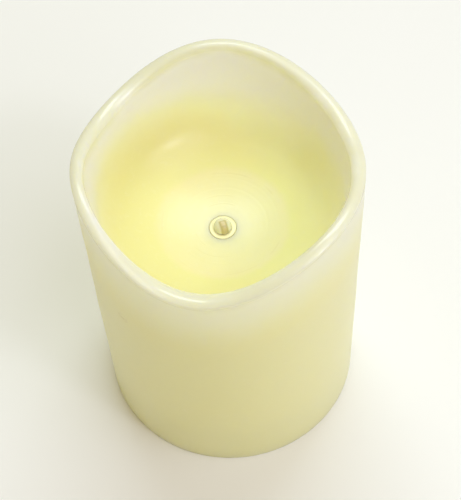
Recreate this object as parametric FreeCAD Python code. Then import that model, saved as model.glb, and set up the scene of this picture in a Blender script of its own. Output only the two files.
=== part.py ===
"""Flameless LED pillar candle: a hollow wax pillar with a wavy rim, a moulded core that carries
the LED, and a base plate with a three-cell battery tray, a hinged door and a slide switch.

Millimetres. +Z is up, the origin is the middle of the face that the candle stands on, and -Y is the front.
Each function builds one physical piece, and write_parts() writes each piece to parts/NODE.step.
"""

import FreeCAD
import Part

import math
import os

from FreeCAD import Vector

# ---------------------------------------------------------------- driving dimensions
# Wax pillar
PILLAR_FOOT_R = 38.0
PILLAR_TOP_R = 38.5
BLANK_H = 112.0
FOOT_BEVEL = 1.0
RIM_CREST_R = 36.6
RIM_MEAN_H = 102.4
# Each wave of the rim: how many crests it has round the pillar, its height, and where a crest stands.
RIM_WAVES = [(1, 2.75, 92.0), (2, 1.14, -22.7), (3, 3.92, 78.2), (4, 0.66, 15.8)]
RIM_INNER_ROUND = 2.6
RIM_OUTER_ROUND = 3.2
RIM_PATH_POINTS = 60
BOWL_FLOOR_H = 72.3
BOWL_DISH_R = 58.0
BOWL_WALL_H = 100.0
BOWL_WALL_R = 34.6
BOWL_DRAFT = 0.14
BOWL_FILLET = 14.0
LAMP_HOLE_R = 3.9
LAMP_HOLE_BEVEL = 0.4
BOND_GAP = 0.25
BEAD_ANGLE = 26
BEAD_PLACES = (8, 97, 188, 276)
BEAD_UNDER = 0.3
BEAD_WIDTH = 1.2

# Moulded core
CORE_WALL = 1.5
SKIRT_R = 33.2
SKIRT_TOP = 16.5
CONE_FOOT_R = 29.0
CONE_FOOT_H = 19.5
CONE_TOP_R = 18.4
CORE_TOP = 68.0
CORE_TOP_ROUND = 2.9
TOWER_R = 3.7
TOWER_TOP = 72.0
CORE_ROOF = 1.6
LED_POST_R = 2.2
LED_POST_HOLE_R = 0.75

# Base plate and battery tray
PLATE_UNDER = 1.2
PLATE_TOP = 3.2
TRAY_HALF_X = 24.5
TRAY_HALF_Y = 16.2
TRAY_ROOF = 14.0
TRAY_WALL = 1.2
TRAY_OUTSIDE_TOP = 15.2
BOSS_X = 19.0
BOSS_Y = 21.5
BOSS_R = 2.75
SCREW_R = 1.08
SCREW_HEAD_R = 2.42
SCREW_HEAD_UNDER = PLATE_UNDER + 0.05
SCREW_SHANK_TOP = 9.6
SCREW_TIP_TOP = 11.2
SCREW_TIP_R = 0.3
CROSS_LENGTH = 2.6
CROSS_WIDTH = 0.6
CROSS_DEPTH = 0.9
COUNTERSINK_R = 2.5
COUNTERSINK_FLOOR_R = 1.3
COUNTERSINK_DEPTH = 1.2

# Battery door
DOOR_HALF_X = 25.2
DOOR_HALF_Y = 16.9
DOOR_TOP = 2.7
DOOR_GAP = 0.3
HINGE_X = -24.2
HINGE_Z = 2.0
HINGE_PIN_R = 0.5
HINGE_HOLE_R = 0.58
HINGE_SWING_R = 1.45
HINGE_REACH_Y = 18.4
TONGUE_HALF_Y = 3.6
TONGUE_END_X = 26.4
TONGUE_SLOT = 0.8
TONGUE_FOOT_X = 17.5
TONGUE_TOP = 2.5
HINGE_PIN_LENGTH = 2.3
SNAP_BEAD_R = 0.25
SNAP_BEAD_LENGTH = 0.5
GRIP_RIBS = 4
GRIP_RIB_R = 0.3
GRIP_RIB_PITCH = 1.3
GRIP_X = 21.2
PAD_T = 0.5
PAD_X = (-22, 15)
PAD_HALF_Y = 15
FINGER_NOTCH_R = 3.4
FINGER_NOTCH_X = 27.0

# AAA cells, lying along X
CELL_PITCH = 10.8
CELL_Z = 8.6
CELL_CAN_R = 5.0
CELL_JACKET_R = 5.22
CELL_LENGTH = 44.5
BUTTON_R = 1.9
BUTTON_H = 0.8
CONTACT_T = 0.35
NUB_H = 0.35
SPRING_WIRE_R = 0.25
SPRING_FOOT_R = 3.4
SPRING_TIP_R = 2.1
SPRING_TURNS = 3
SPRING_POINTS_PER_TURN = 9
CONTACT_HALF = 4.2
TAIL_HALF = 1.3
TAIL_TOP = 16.8
NUB_FOOT_R = 1.6
NUB_TIP_R = 1.2

# Slide switch and control board
SWITCH_Y = 24.0
SWITCH_TRAVEL = 2.0
CAN_X = 8.6
CAN_Y = 4.4
CAN_FOOT = 3.5
CAN_TOP = 7.3
CAN_WALL = 0.3
PIN_XS = (-2.5, 0, 2.5)
PIN_HALF_X = 0.3
PIN_HALF_Y = 0.2
PIN_HEAD_UNDER = 6.15
PIN_HEAD_TOP = 6.4
PIN_TOP = 9.3
STEM_HALF_X = 0.95
STEM_TIP = 0.5
KNOB_FOOT = 3.85
KNOB_TOP = 5.4
CLIP_T = 0.25
MARK_X = 7.2
MARK_H = 0.2
BOARD_T = 1.2
BOARD_HALF_X = 13.0
BOARD_FRONT = 18.8
BOARD_BACK = 28.2
STANDOFF_X = 9.8
STANDOFF_Y = 23.5
STANDOFF_R = 2.1
STANDOFF_HOLE_R = 0.8
BOARD_HOLE_R = 0.95

# LED: a 5 mm lamp
LENS_R = 2.5
LENS_TOP = 75.2
FLANGE_R = 2.9
FLANGE_FOOT = 66.6
FLANGE_T = 1.0
LEAD_PITCH = 2.54
LEAD_W = 0.5
LAMP_TURN = -75.0
LED_BOARD_R = 10.5
LED_BOARD_TOP = 62.6
LED_BOARD_T = 1.2
LED_POST_X = 7.2
LED_BOARD_HOLE_R = 0.9
LEAD_HOLE_R = 0.42
LEAD_UNDER = 60.2
CUP_X = -0.25
CUP_FOOT = 70.0
CUP_TOP = 71.0
CUP_FOOT_R = 0.65
CUP_TOP_R = 0.85
BOWL_FOOT = 70.6
BOWL_FOOT_R = 0.35
BOWL_TOP_R = 0.7
CHIP_SIDE = 0.3
CHIP_T = 0.12

WIRE_D = 1.1
SOLDER_H = 0.25
Z_AXIS = Vector(0, 0, 1)
SMALL = 0.02


# ---------------------------------------------------------------- shape helpers
def box(x0, x1, y0, y1, z0, z1):
    return Part.makeBox(x1 - x0, y1 - y0, z1 - z0, Vector(x0, y0, z0))


def post(r, z0, z1, x=0.0, y=0.0):
    return Part.makeCylinder(r, z1 - z0, Vector(x, y, z0))


def cone(r0, r1, z0, z1, x=0.0, y=0.0):
    return Part.makeCone(r0, r1, z1 - z0, Vector(x, y, z0))


def rod_x(r, x0, x1, y, z):
    return Part.makeCylinder(r, x1 - x0, Vector(x0, y, z), Vector(1, 0, 0))


def rod_y(r, y0, y1, x, z):
    return Part.makeCylinder(r, y1 - y0, Vector(x, y0, z), Vector(0, 1, 0))


def lathe(edges, angle=360.0):
    """A solid of revolution about Z, from the closed outline that the edges make in the XZ plane."""
    face = Part.Face(Part.Wire(Part.__sortEdges__(edges)))
    return face.revolve(Vector(0, 0, 0), Z_AXIS, angle)


def at(r, z):
    return Vector(r, 0, z)


def lines(*corners):
    return [Part.makeLine(a, b) for a, b in zip(corners, corners[1:])]


def arc(a, middle, b):
    return Part.Arc(a, middle, b).toShape()


def turned(shape, degrees):
    turned_shape = shape.copy()
    turned_shape.rotate(Vector(0, 0, 0), Z_AXIS, degrees)
    return turned_shape


def tube_along(points, diameter):
    """A round tube through the points: straight runs joined by tangent arcs, each as large as its runs allow."""
    edges = []
    start = points[0]
    for before, corner, after in zip(points, points[1:], points[2:]):
        back = before - corner
        on = after - corner
        shorter = min(back.Length, on.Length)
        turn = math.pi - back.getAngle(on)
        reach = 0.45 * shorter
        radius = reach / math.tan(turn / 2)
        back.normalize()
        on.normalize()
        first = corner + back * reach
        last = corner + on * reach
        inward = back + on
        inward.normalize()
        centre = corner + inward * (radius / math.cos(turn / 2))
        edges.append(Part.makeLine(start, first))
        edges.append(arc(first, centre - inward * radius, last))
        start = last
    edges.append(Part.makeLine(start, points[-1]))
    path = Part.Wire(edges)
    section = Part.Wire([Part.makeCircle(diameter / 2, points[0], points[1] - points[0])])
    tube = path.makePipeShell([section], True, False)
    expected = math.pi * diameter**2 / 4 * path.Length
    print(f"tube {path.Length:.1f} mm long, volume {tube.Volume / expected:.3f} of its section times length")
    return tube


# ---------------------------------------------------------------- wax pillar
def rim_height(angle):
    """Height of the rim's crest at an angle, in radians, from +X."""
    waves = [h * math.cos(n * (angle - math.radians(crest))) for n, h, crest in RIM_WAVES]
    return RIM_MEAN_H + sum(waves)


def rim_cutter():
    """All that lies above the rounded rim: its section is swept once round the wavy crest line."""
    angles = [2 * math.pi * i / RIM_PATH_POINTS for i in range(RIM_PATH_POINTS)]
    crest = [Vector(RIM_CREST_R * math.cos(a), RIM_CREST_R * math.sin(a), rim_height(a)) for a in angles]
    path = Part.BSplineCurve()
    path.interpolate(Points=crest, PeriodicFlag=True)

    def local(out, up):
        return at(RIM_CREST_R + out, rim_height(0) + up)

    def on_round(radius, out):
        return local(out, math.sqrt(radius**2 - out**2) - radius)

    inner = on_round(RIM_INNER_ROUND, -2.5)
    outer = on_round(RIM_OUTER_ROUND, 2.9)
    top = local(0, 0)
    reach = 6.0
    above = 22.0
    edges = [arc(inner, on_round(RIM_INNER_ROUND, -1.3), top), arc(top, on_round(RIM_OUTER_ROUND, 1.5), outer)]
    edges += lines(outer, local(reach, -5), local(reach, above), local(-reach, above), local(-reach, -8), inner)
    sweep = Part.BRepOffsetAPI.MakePipeShell(Part.Wire([path.toShape()]))
    sweep.setBiNormalMode(Z_AXIS)
    sweep.add(Part.Wire(edges), False, False)
    sweep.build()
    sweep.makeSolid()
    return sweep.shape()


def bowl_cutter():
    """The recess and the lamp's hole: a dished floor that sweeps up into a wall leaning slightly outwards."""
    dish_centre = BOWL_FLOOR_H + BOWL_DISH_R

    def dish(r):
        return at(r, dish_centre - math.sqrt(BOWL_DISH_R**2 - r**2))

    def wall(z):
        return at(BOWL_WALL_R - (BOWL_WALL_H - z) * BOWL_DRAFT, z)

    corner_r = BOWL_WALL_R
    for _ in range(20):
        corner_r = wall(dish(corner_r).z).x
    corner = dish(corner_r)
    top = BLANK_H + 1
    lip = dish(LAMP_HOLE_R + LAMP_HOLE_BEVEL)
    foot = CORE_TOP - 1
    edges = [arc(lip, dish(corner_r / 2), corner)]
    edges += lines(corner, wall(top), at(0, top), at(0, foot), at(LAMP_HOLE_R, foot))
    edges += lines(at(LAMP_HOLE_R, foot), at(LAMP_HOLE_R, lip.z - LAMP_HOLE_BEVEL), lip)
    bowl = lathe(edges)
    sharp = [e for e in bowl.Edges if abs(e.BoundBox.ZMax - corner.z) < 0.01 and e.BoundBox.ZLength < 0.01]
    return bowl.makeFillet(BOWL_FILLET, sharp)


def core_outline(grow):
    """Outline of the core's outside, grown outwards, from its open foot to the middle of its top."""
    skirt = SKIRT_R + grow
    shoulder = at(skirt, SKIRT_TOP + grow / 2)
    cone_foot = at(CONE_FOOT_R + grow, CONE_FOOT_H + grow / 2)
    cone_top = at(CONE_TOP_R + grow, CORE_TOP + grow - CORE_TOP_ROUND)
    flat_edge = at(CONE_TOP_R + grow - CORE_TOP_ROUND, CORE_TOP + grow)
    bulge = CORE_TOP_ROUND * (1 - math.sqrt(0.5))
    middle = at(CONE_TOP_R + grow - bulge, CORE_TOP + grow - bulge)
    return shoulder, cone_foot, cone_top, middle, flat_edge


def core_block(grow, foot):
    shoulder, cone_foot, cone_top, middle, flat_edge = core_outline(grow)
    edges = lines(at(0, foot), at(shoulder.x, foot), shoulder, cone_foot, cone_top)
    edges.append(arc(cone_top, middle, flat_edge))
    edges += lines(flat_edge, at(0, flat_edge.z), at(0, foot))
    return lathe(edges)


def wax_pillar():
    blank = cone(PILLAR_FOOT_R, PILLAR_TOP_R, 0, BLANK_H)
    foot_edge = [e for e in blank.Edges if e.BoundBox.ZMax < 0.01 and e.BoundBox.ZLength < 0.01]
    blank = blank.makeChamfer(FOOT_BEVEL, foot_edge)
    for cutter in (rim_cutter(), bowl_cutter(), core_block(BOND_GAP, -1)):
        blank = blank.cut(cutter)
    return blank


def glue_beads():
    """Four short beads of hot glue in the corner between the base plate and the wax."""
    wax_r = SKIRT_R + BOND_GAP
    deep = at(wax_r, PLATE_UNDER)
    low = at(wax_r, BEAD_UNDER)
    wide = at(wax_r - BEAD_WIDTH, PLATE_UNDER)
    edges = lines(wide, deep, low)
    edges.append(arc(low, at(wax_r - 0.6 * BEAD_WIDTH, 2 * BEAD_UNDER), wide))
    bead = lathe(edges, BEAD_ANGLE)
    return Part.makeCompound([turned(bead, a) for a in BEAD_PLACES])


# ---------------------------------------------------------------- moulded core
def core_cup():
    shell = core_block(0, PLATE_TOP)
    inside = lathe(
        lines(
            at(0, PLATE_TOP - 1),
            at(SKIRT_R - CORE_WALL, PLATE_TOP - 1),
            at(SKIRT_R - CORE_WALL, SKIRT_TOP - 0.6),
            at(CONE_FOOT_R - CORE_WALL, CONE_FOOT_H - 0.6),
            at(CONE_TOP_R - CORE_WALL, CORE_TOP - CORE_TOP_ROUND - 0.6),
            at(CONE_TOP_R - CORE_TOP_ROUND - 0.4, CORE_TOP - CORE_ROOF),
            at(0, CORE_TOP - CORE_ROOF),
            at(0, PLATE_TOP - 1),
        )
    )
    core = shell.cut(inside)
    for x in (-BOSS_X, BOSS_X):
        for y in (-BOSS_Y, BOSS_Y):
            core = core.fuse(post(BOSS_R, PLATE_TOP, SKIRT_TOP + 1.0, x, y))
            core = core.cut(post(SCREW_R + SMALL, PLATE_TOP, 12.0, x, y))
    for x in (-LED_POST_X, LED_POST_X):
        core = core.fuse(post(LED_POST_R, LED_BOARD_TOP, CORE_TOP - 1.0, x))
        core = core.cut(post(LED_POST_HOLE_R, LED_BOARD_TOP, CORE_TOP - 2.2, x))
    core = core.fuse(post(TOWER_R, CORE_TOP - 1.0, TOWER_TOP))
    core = core.cut(post(LENS_R + 0.1, CORE_TOP - 2, TOWER_TOP + 1))
    return core.cut(post(FLANGE_R + 0.15, CORE_TOP - 2, FLANGE_FOOT + FLANGE_T + 0.1))


# ---------------------------------------------------------------- base plate
def base_plate():
    plate = post(SKIRT_R, PLATE_UNDER, PLATE_TOP)
    under_edge = [e for e in plate.Edges if e.BoundBox.ZMax < PLATE_UNDER + 0.01 and e.BoundBox.ZLength < 0.01]
    plate = plate.makeChamfer(0.3, under_edge)
    x, y = TRAY_HALF_X, TRAY_HALF_Y
    plate = plate.fuse(box(-x - TRAY_WALL, x + TRAY_WALL, -y - TRAY_WALL, y + TRAY_WALL, PLATE_TOP - 1,
                           TRAY_OUTSIDE_TOP))
    for side in (-STANDOFF_X, STANDOFF_X):
        plate = plate.fuse(post(STANDOFF_R, PLATE_TOP - 1, CAN_TOP, side, STANDOFF_Y))
    # Raised marks beside the switch: a ring for off, a bar for on.
    low, high = PLATE_UNDER - MARK_H, PLATE_UNDER + MARK_H
    ring = post(1.5, low, high, -MARK_X, SWITCH_Y)
    plate = plate.fuse(ring.cut(post(1.0, PLATE_UNDER - 1, PLATE_UNDER + 1, -MARK_X, SWITCH_Y)))
    plate = plate.fuse(box(MARK_X - 0.3, MARK_X + 0.3, SWITCH_Y - 1.5, SWITCH_Y + 1.5, low, high))
    cuts = [box(-x, x, -y, y, 0, TRAY_ROOF)]
    cuts.append(
        box(
            -DOOR_HALF_X - DOOR_GAP,
            DOOR_HALF_X + DOOR_GAP,
            -DOOR_HALF_Y - DOOR_GAP,
            DOOR_HALF_Y + DOOR_GAP,
            0,
            DOOR_TOP + 0.1,
        )
    )
    swing = HINGE_SWING_R
    cuts.append(
        box(
            HINGE_X - swing,
            HINGE_X + swing,
            -DOOR_HALF_Y - DOOR_GAP,
            DOOR_HALF_Y + DOOR_GAP,
            0,
            HINGE_Z + swing,
        )
    )
    cuts.append(rod_y(HINGE_HOLE_R, -HINGE_REACH_Y, HINGE_REACH_Y, HINGE_X, HINGE_Z))
    cuts.append(box(25, TONGUE_END_X + 0.45, -4.6, 4.6, 0, 2.65))
    cuts.append(post(FINGER_NOTCH_R, 0, 2.65, FINGER_NOTCH_X))
    for side in (-STANDOFF_X, STANDOFF_X):
        cuts.append(post(STANDOFF_HOLE_R, 4.0, CAN_TOP + 1, side, STANDOFF_Y))
    slot_x = STEM_HALF_X + SWITCH_TRAVEL / 2 + 0.25
    cuts.append(box(-slot_x, slot_x, SWITCH_Y - 1.25, SWITCH_Y + 1.25, 0, 5))
    cuts.append(box(-4.2, 4.2, SWITCH_Y - 2.6, SWITCH_Y + 2.6, 0, PLATE_UNDER + 0.8))
    for sx in (-BOSS_X, BOSS_X):
        for sy in (-BOSS_Y, BOSS_Y):
            cuts.append(post(SCREW_R + 0.2, 0, 5, sx, sy))
            sunk_to = PLATE_UNDER + COUNTERSINK_DEPTH
            cuts.append(cone(COUNTERSINK_R, COUNTERSINK_FLOOR_R, PLATE_UNDER, sunk_to, sx, sy))
    for side, tab_y in ((1, -CELL_PITCH), (-1, CELL_PITCH)):
        edge = side * TRAY_HALF_X
        cuts.append(box(min(edge, edge - side * 0.5), max(edge, edge - side * 0.5), tab_y - 1.5, tab_y + 1.5, 13, 16))
    for cutter in cuts:
        plate = plate.cut(cutter)
    for low in (-4.4, 3.0):
        plate = plate.fuse(rod_y(0.15, low, low + 1.4, TONGUE_END_X + 0.45, 1.6))
    return plate


def countersunk_screw(x, y):
    """A screw whose head lies in the plate's underside, with a cross slot that opens downwards."""
    head = cone(SCREW_HEAD_R, SCREW_R, SCREW_HEAD_UNDER, SCREW_HEAD_UNDER + SCREW_HEAD_R - SCREW_R, x, y)
    shank = post(SCREW_R, PLATE_UNDER + 1, SCREW_SHANK_TOP, x, y)
    screw = head.fuse(shank).fuse(cone(SCREW_R, SCREW_TIP_R, SCREW_SHANK_TOP, SCREW_TIP_TOP, x, y))
    for length, width in ((CROSS_LENGTH, CROSS_WIDTH), (CROSS_WIDTH, CROSS_LENGTH)):
        slot = box(x - length / 2, x + length / 2, y - width / 2, y + width / 2, 0, PLATE_UNDER + CROSS_DEPTH)
        screw = screw.cut(slot)
    return screw


def base_screws():
    places = [(x, y) for x in (-BOSS_X, BOSS_X) for y in (-BOSS_Y, BOSS_Y)]
    return Part.makeCompound([countersunk_screw(x, y) for x, y in places])


# ---------------------------------------------------------------- battery door
def battery_door():
    door = box(-DOOR_HALF_X, DOOR_HALF_X, -DOOR_HALF_Y, DOOR_HALF_Y, PLATE_UNDER, DOOR_TOP)
    corners = [e for e in door.Edges if e.BoundBox.ZLength > 1 and e.BoundBox.XMin > 0]
    door = door.makeFillet(0.2, corners)
    door = door.fuse(box(20, TONGUE_END_X, -TONGUE_HALF_Y, TONGUE_HALF_Y, PLATE_UNDER, TONGUE_TOP))
    for side in (-1, 1):
        low = min(side * TONGUE_HALF_Y, side * (TONGUE_HALF_Y + TONGUE_SLOT))
        door = door.cut(box(TONGUE_FOOT_X, 30, low, low + TONGUE_SLOT, 0, 5))
        pin_low = min(side * (DOOR_HALF_Y - 1), side * (DOOR_HALF_Y + 1.3))
        door = door.fuse(rod_y(HINGE_PIN_R, pin_low, pin_low + HINGE_PIN_LENGTH, HINGE_X, HINGE_Z))
        bead_low = 3.0 if side > 0 else -3.5
        door = door.fuse(rod_y(SNAP_BEAD_R, bead_low, bead_low + SNAP_BEAD_LENGTH, TONGUE_END_X, 2.1))
    for i in range(GRIP_RIBS):
        door = door.fuse(rod_y(GRIP_RIB_R, -2.8, 2.8, GRIP_X + GRIP_RIB_PITCH * i, PLATE_UNDER))
    arrow = Part.Face(Part.makePolygon([Vector(14.6, -2.2, 1.5), Vector(17.0, 0, 1.5), Vector(14.6, 2.2, 1.5),
                                        Vector(14.6, -2.2, 1.5)]))
    return door.cut(arrow.extrude(Vector(0, 0, -1)))


def door_pad():
    return box(*PAD_X, -PAD_HALF_Y, PAD_HALF_Y, DOOR_TOP, DOOR_TOP + PAD_T)


# ---------------------------------------------------------------- battery cells and contacts
def facing(side, shape):
    """The shape as made for the +X end of the tray, or mirrored to the -X end."""
    return shape if side > 0 else shape.mirror(Vector(0, 0, 0), Vector(1, 0, 0))


def cell_can(y, side):
    """A cell's steel can, its plus button towards side."""
    plus_end = TRAY_HALF_X - CONTACT_T - NUB_H
    can = rod_x(CELL_CAN_R, plus_end - CELL_LENGTH, plus_end - BUTTON_H, y, CELL_Z)
    rims = [e for e in can.Edges if e.BoundBox.XLength < 0.01]
    can = can.makeFillet(0.5, rims)
    return facing(side, can.fuse(rod_x(BUTTON_R, plus_end - BUTTON_H - 0.5, plus_end, y, CELL_Z)))


def cell_jacket(y, side):
    plus_end = TRAY_HALF_X - CONTACT_T - NUB_H
    x0 = plus_end - CELL_LENGTH + 0.6
    x1 = plus_end - BUTTON_H - 0.6
    sleeve = rod_x(CELL_JACKET_R, x0, x1, y, CELL_Z)
    return facing(side, sleeve.cut(rod_x(CELL_CAN_R, x0 - 1, x1 + 1, y, CELL_Z)))


def contact(side, low_y, high_y, nub_y=None, tail_y=None):
    """A stamped contact against one end wall, with a nub for a plus end and a tail for a wire."""
    x0 = TRAY_HALF_X - CONTACT_T
    half = CONTACT_HALF
    plate = box(x0, TRAY_HALF_X, low_y - half, high_y + half, CELL_Z - half, CELL_Z + half)
    upright = [e for e in plate.Edges if e.BoundBox.XLength > 0.1]
    plate = plate.makeFillet(0.8, upright)
    if nub_y is not None:
        plate = plate.fuse(Part.makeCone(NUB_FOOT_R, NUB_TIP_R, NUB_H, Vector(x0, nub_y, CELL_Z), Vector(-1, 0, 0)))
    if tail_y is not None:
        plate = plate.fuse(box(x0, TRAY_HALF_X, tail_y - TAIL_HALF, tail_y + TAIL_HALF, CELL_Z, TAIL_TOP))
    return facing(side, plate)


def contact_spring(y, side):
    """A conical coil, drawn pressed, between a contact and a cell's flat end."""
    foot_x = TRAY_HALF_X - CONTACT_T - SPRING_WIRE_R
    tip_x = CELL_LENGTH - (TRAY_HALF_X - CONTACT_T - NUB_H) + SPRING_WIRE_R
    steps = SPRING_TURNS * SPRING_POINTS_PER_TURN
    route = []
    for i in range(steps + 1):
        along = i / steps
        r = SPRING_FOOT_R + (SPRING_TIP_R - SPRING_FOOT_R) * along
        angle = 2 * math.pi * i / SPRING_POINTS_PER_TURN
        x = foot_x + (tip_x - foot_x) * along
        route.append(Vector(x, y + r * math.cos(angle), CELL_Z + r * math.sin(angle)))
    return facing(side, tube_along(route, 2 * SPRING_WIRE_R))


# ---------------------------------------------------------------- slide switch
def switch_can():
    half_x = CAN_X / 2
    half_y = CAN_Y / 2
    outside = box(-half_x, half_x, SWITCH_Y - half_y, SWITCH_Y + half_y, CAN_FOOT, CAN_TOP)
    inside = box(
        -half_x + CAN_WALL,
        half_x - CAN_WALL,
        SWITCH_Y - half_y + CAN_WALL,
        SWITCH_Y + half_y - CAN_WALL,
        CAN_FOOT + CAN_WALL,
        CAN_TOP + 1,
    )
    slot_x = STEM_HALF_X + SWITCH_TRAVEL / 2 + 0.1
    return outside.cut(inside).cut(box(-slot_x, slot_x, SWITCH_Y - 1.1, SWITCH_Y + 1.1, 0, 5))


def switch_pin(x):
    head = box(x - 0.7, x + 0.7, SWITCH_Y - 0.9, SWITCH_Y + 0.9, PIN_HEAD_UNDER, PIN_HEAD_TOP)
    low_y, high_y = SWITCH_Y - PIN_HALF_Y, SWITCH_Y + PIN_HALF_Y
    return head.fuse(box(x - PIN_HALF_X, x + PIN_HALF_X, low_y, high_y, PIN_HEAD_TOP - 0.1, PIN_TOP))


def switch_pins():
    return Part.makeCompound([switch_pin(x) for x in PIN_XS])


def switch_base():
    base = box(-3.95, 3.95, SWITCH_Y - 1.85, SWITCH_Y + 1.85, PIN_HEAD_TOP, CAN_TOP)
    for x in PIN_XS:
        base = base.cut(switch_pin(x))
    return base


def switch_knob():
    """The sliding knob, standing at its off end."""
    x = -SWITCH_TRAVEL / 2
    knob = box(x - 2.4, x + 2.4, SWITCH_Y - 1.7, SWITCH_Y + 1.7, KNOB_FOOT, KNOB_TOP)
    stem = box(x - STEM_HALF_X, x + STEM_HALF_X, SWITCH_Y - 1.0, SWITCH_Y + 1.0, STEM_TIP, KNOB_FOOT + 0.15)
    tips = [e for e in stem.Edges if e.BoundBox.ZMax < STEM_TIP + 0.1]
    knob = knob.fuse(stem.makeFillet(0.2, tips))
    for dx in (-0.45, 0, 0.45):
        knob = knob.cut(rod_y(0.12, SWITCH_Y - 2, SWITCH_Y + 2, x + dx, STEM_TIP))
    return knob


def switch_wiper():
    """The bronze clip that rides on the knob and bridges two pins."""
    x = -SWITCH_TRAVEL / 2
    top = KNOB_TOP + CLIP_T
    clip = box(x - 2.0, x + 2.0, SWITCH_Y - 0.8, SWITCH_Y + 0.8, KNOB_TOP, top)
    below = box(-9, 9, SWITCH_Y - 1, SWITCH_Y + 1, KNOB_TOP - 0.4, KNOB_TOP + 0.1)
    for dx in (-1.25, 1.25):
        bump = rod_y(0.4, SWITCH_Y - 0.7, SWITCH_Y + 0.7, x + dx, top)
        clip = clip.fuse(bump.cut(below))
    return clip


# ---------------------------------------------------------------- control board
BOARD_UNDER = CAN_TOP
BOARD_TOP = CAN_TOP + BOARD_T
BATTERY_PADS = [(11.6, 26.4), (-11.6, 26.4)]
LAMP_PADS = [(11.6, 20.4), (-11.6, 20.4)]
WIRE_FOOT = BOARD_TOP + SOLDER_H


def control_board():
    board = box(-BOARD_HALF_X, BOARD_HALF_X, BOARD_FRONT, BOARD_BACK, BOARD_UNDER, BOARD_TOP)
    upright = [e for e in board.Edges if e.BoundBox.ZLength > 1]
    board = board.makeFillet(0.8, upright)
    for x in (-STANDOFF_X, STANDOFF_X):
        board = board.cut(post(BOARD_HOLE_R, 0, 12, x, STANDOFF_Y))
    half_x, half_y = PIN_HALF_X + SMALL, PIN_HALF_Y + SMALL
    for x in PIN_XS:
        board = board.cut(box(x - half_x, x + half_x, SWITCH_Y - half_y, SWITCH_Y + half_y, 0, 12))
    return board


def pan_screw(x, y, seat, down, length, head_r, head_h, shank_r):
    """A pan-head screw whose head rests on seat and whose shank goes down, or up if down is -1."""
    way = Vector(0, 0, -down)
    head = Part.makeCylinder(head_r, head_h, Vector(x, y, seat), Vector(0, 0, down))
    face = seat + down * head_h
    rims = [e for e in head.Edges if abs(e.BoundBox.ZMin - face) < 0.01 and e.BoundBox.ZLength < 0.01]
    head = head.makeFillet(head_h * 0.45, rims)
    screw = head.fuse(Part.makeCylinder(shank_r, length, Vector(x, y, seat), way))
    slot_at = seat + down * head_h * 0.5
    low, high = sorted((slot_at, slot_at + down * 2))
    for dx, dy in ((head_r * 0.6, 0.2), (0.2, head_r * 0.6)):
        screw = screw.cut(box(x - dx, x + dx, y - dy, y + dy, low, high))
    return screw


def board_screws():
    return Part.makeCompound(
        [pan_screw(x, STANDOFF_Y, BOARD_TOP, 1, 4.2, 1.7, 1.1, 0.78) for x in (-STANDOFF_X, STANDOFF_X)]
    )


def timer_chip():
    x, y = -4.6, 21.0
    chip = box(x - 1.95, x + 1.95, y - 1.9, y + 1.9, BOARD_TOP + 0.15, BOARD_TOP + 1.5)
    chip = chip.cut(post(0.3, BOARD_TOP + 1.4, BOARD_TOP + 2, x - 1.3, y + 1.3))
    for i in range(3):
        leg_y = y - 1.27 + 1.27 * i
        for side in (-1, 1):
            x0, x1 = sorted((x + side * 1.9, x + side * 2.7))
            chip = chip.fuse(box(x0, x1, leg_y - 0.2, leg_y + 0.2, BOARD_TOP + 0.5, BOARD_TOP + 0.7))
            foot0, foot1 = sorted((x + side * 2.5, x + side * 3.1))
            chip = chip.fuse(box(foot0, foot1, leg_y - 0.2, leg_y + 0.2, BOARD_TOP, BOARD_TOP + 0.65))
    return chip


def board_capacitor():
    can = post(2.0, BOARD_TOP, BOARD_TOP + 5.2, 5.2, 21.4)
    rims = [e for e in can.Edges if e.BoundBox.ZMin > BOARD_TOP + 5 and e.BoundBox.ZLength < 0.01]
    return can.makeFillet(0.35, rims)


def chip_resistor(x, y):
    return box(x - 0.8, x + 0.8, y - 0.4, y + 0.4, BOARD_TOP, BOARD_TOP + 0.5)


def board_resistors():
    return Part.makeCompound([chip_resistor(-6.4, 26.6), chip_resistor(-3.4, 26.6)])


def quartz_crystal():
    can = rod_x(0.95, 0.6, 6.2, 26.6, BOARD_TOP + 0.95)
    ends = [e for e in can.Edges if e.BoundBox.XLength < 0.01]
    return can.makeFillet(0.25, ends)


# ---------------------------------------------------------------- LED and its board
def lamp_turned(shape):
    return turned(shape, LAMP_TURN)


def led_cathode():
    """The lead that carries the cup: a leg, an anvil and a small reflector cup."""
    x = -LEAD_PITCH / 2
    half = LEAD_W / 2
    lead = box(x - half, x + half, -half, half, LEAD_UNDER, 68.8)
    anvil = box(-1.65, 0.3, -half, half, 68.6, 70.3)
    cup = cone(CUP_FOOT_R, CUP_TOP_R, CUP_FOOT, CUP_TOP, CUP_X)
    return lamp_turned(lead.fuse(anvil).fuse(cup).cut(reflector_bowl()))


def reflector_bowl():
    """The cup's hollow, a little taller than the cup."""
    return cone(BOWL_FOOT_R, BOWL_TOP_R, BOWL_FOOT, CUP_TOP + 0.1, CUP_X)


def led_anode():
    x = LEAD_PITCH / 2
    half = LEAD_W / 2
    lead = box(x - half, x + half, -half, half, LEAD_UNDER, 69.4)
    head = box(0.72, 1.6, -half, half, 69.2, 70.5)
    return lamp_turned(lead.fuse(head))


def led_chip():
    half = CHIP_SIDE / 2
    return lamp_turned(box(CUP_X - half, CUP_X + half, -half, half, BOWL_FOOT, BOWL_FOOT + CHIP_T))


def led_phosphor():
    """The drop of yellow resin that fills the reflector cup over the chip."""
    below_rim = box(-2, 2, -2, 2, BOWL_FOOT, CUP_TOP + 0.05)
    return lamp_turned(reflector_bowl().common(below_rim)).cut(led_chip())


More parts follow.
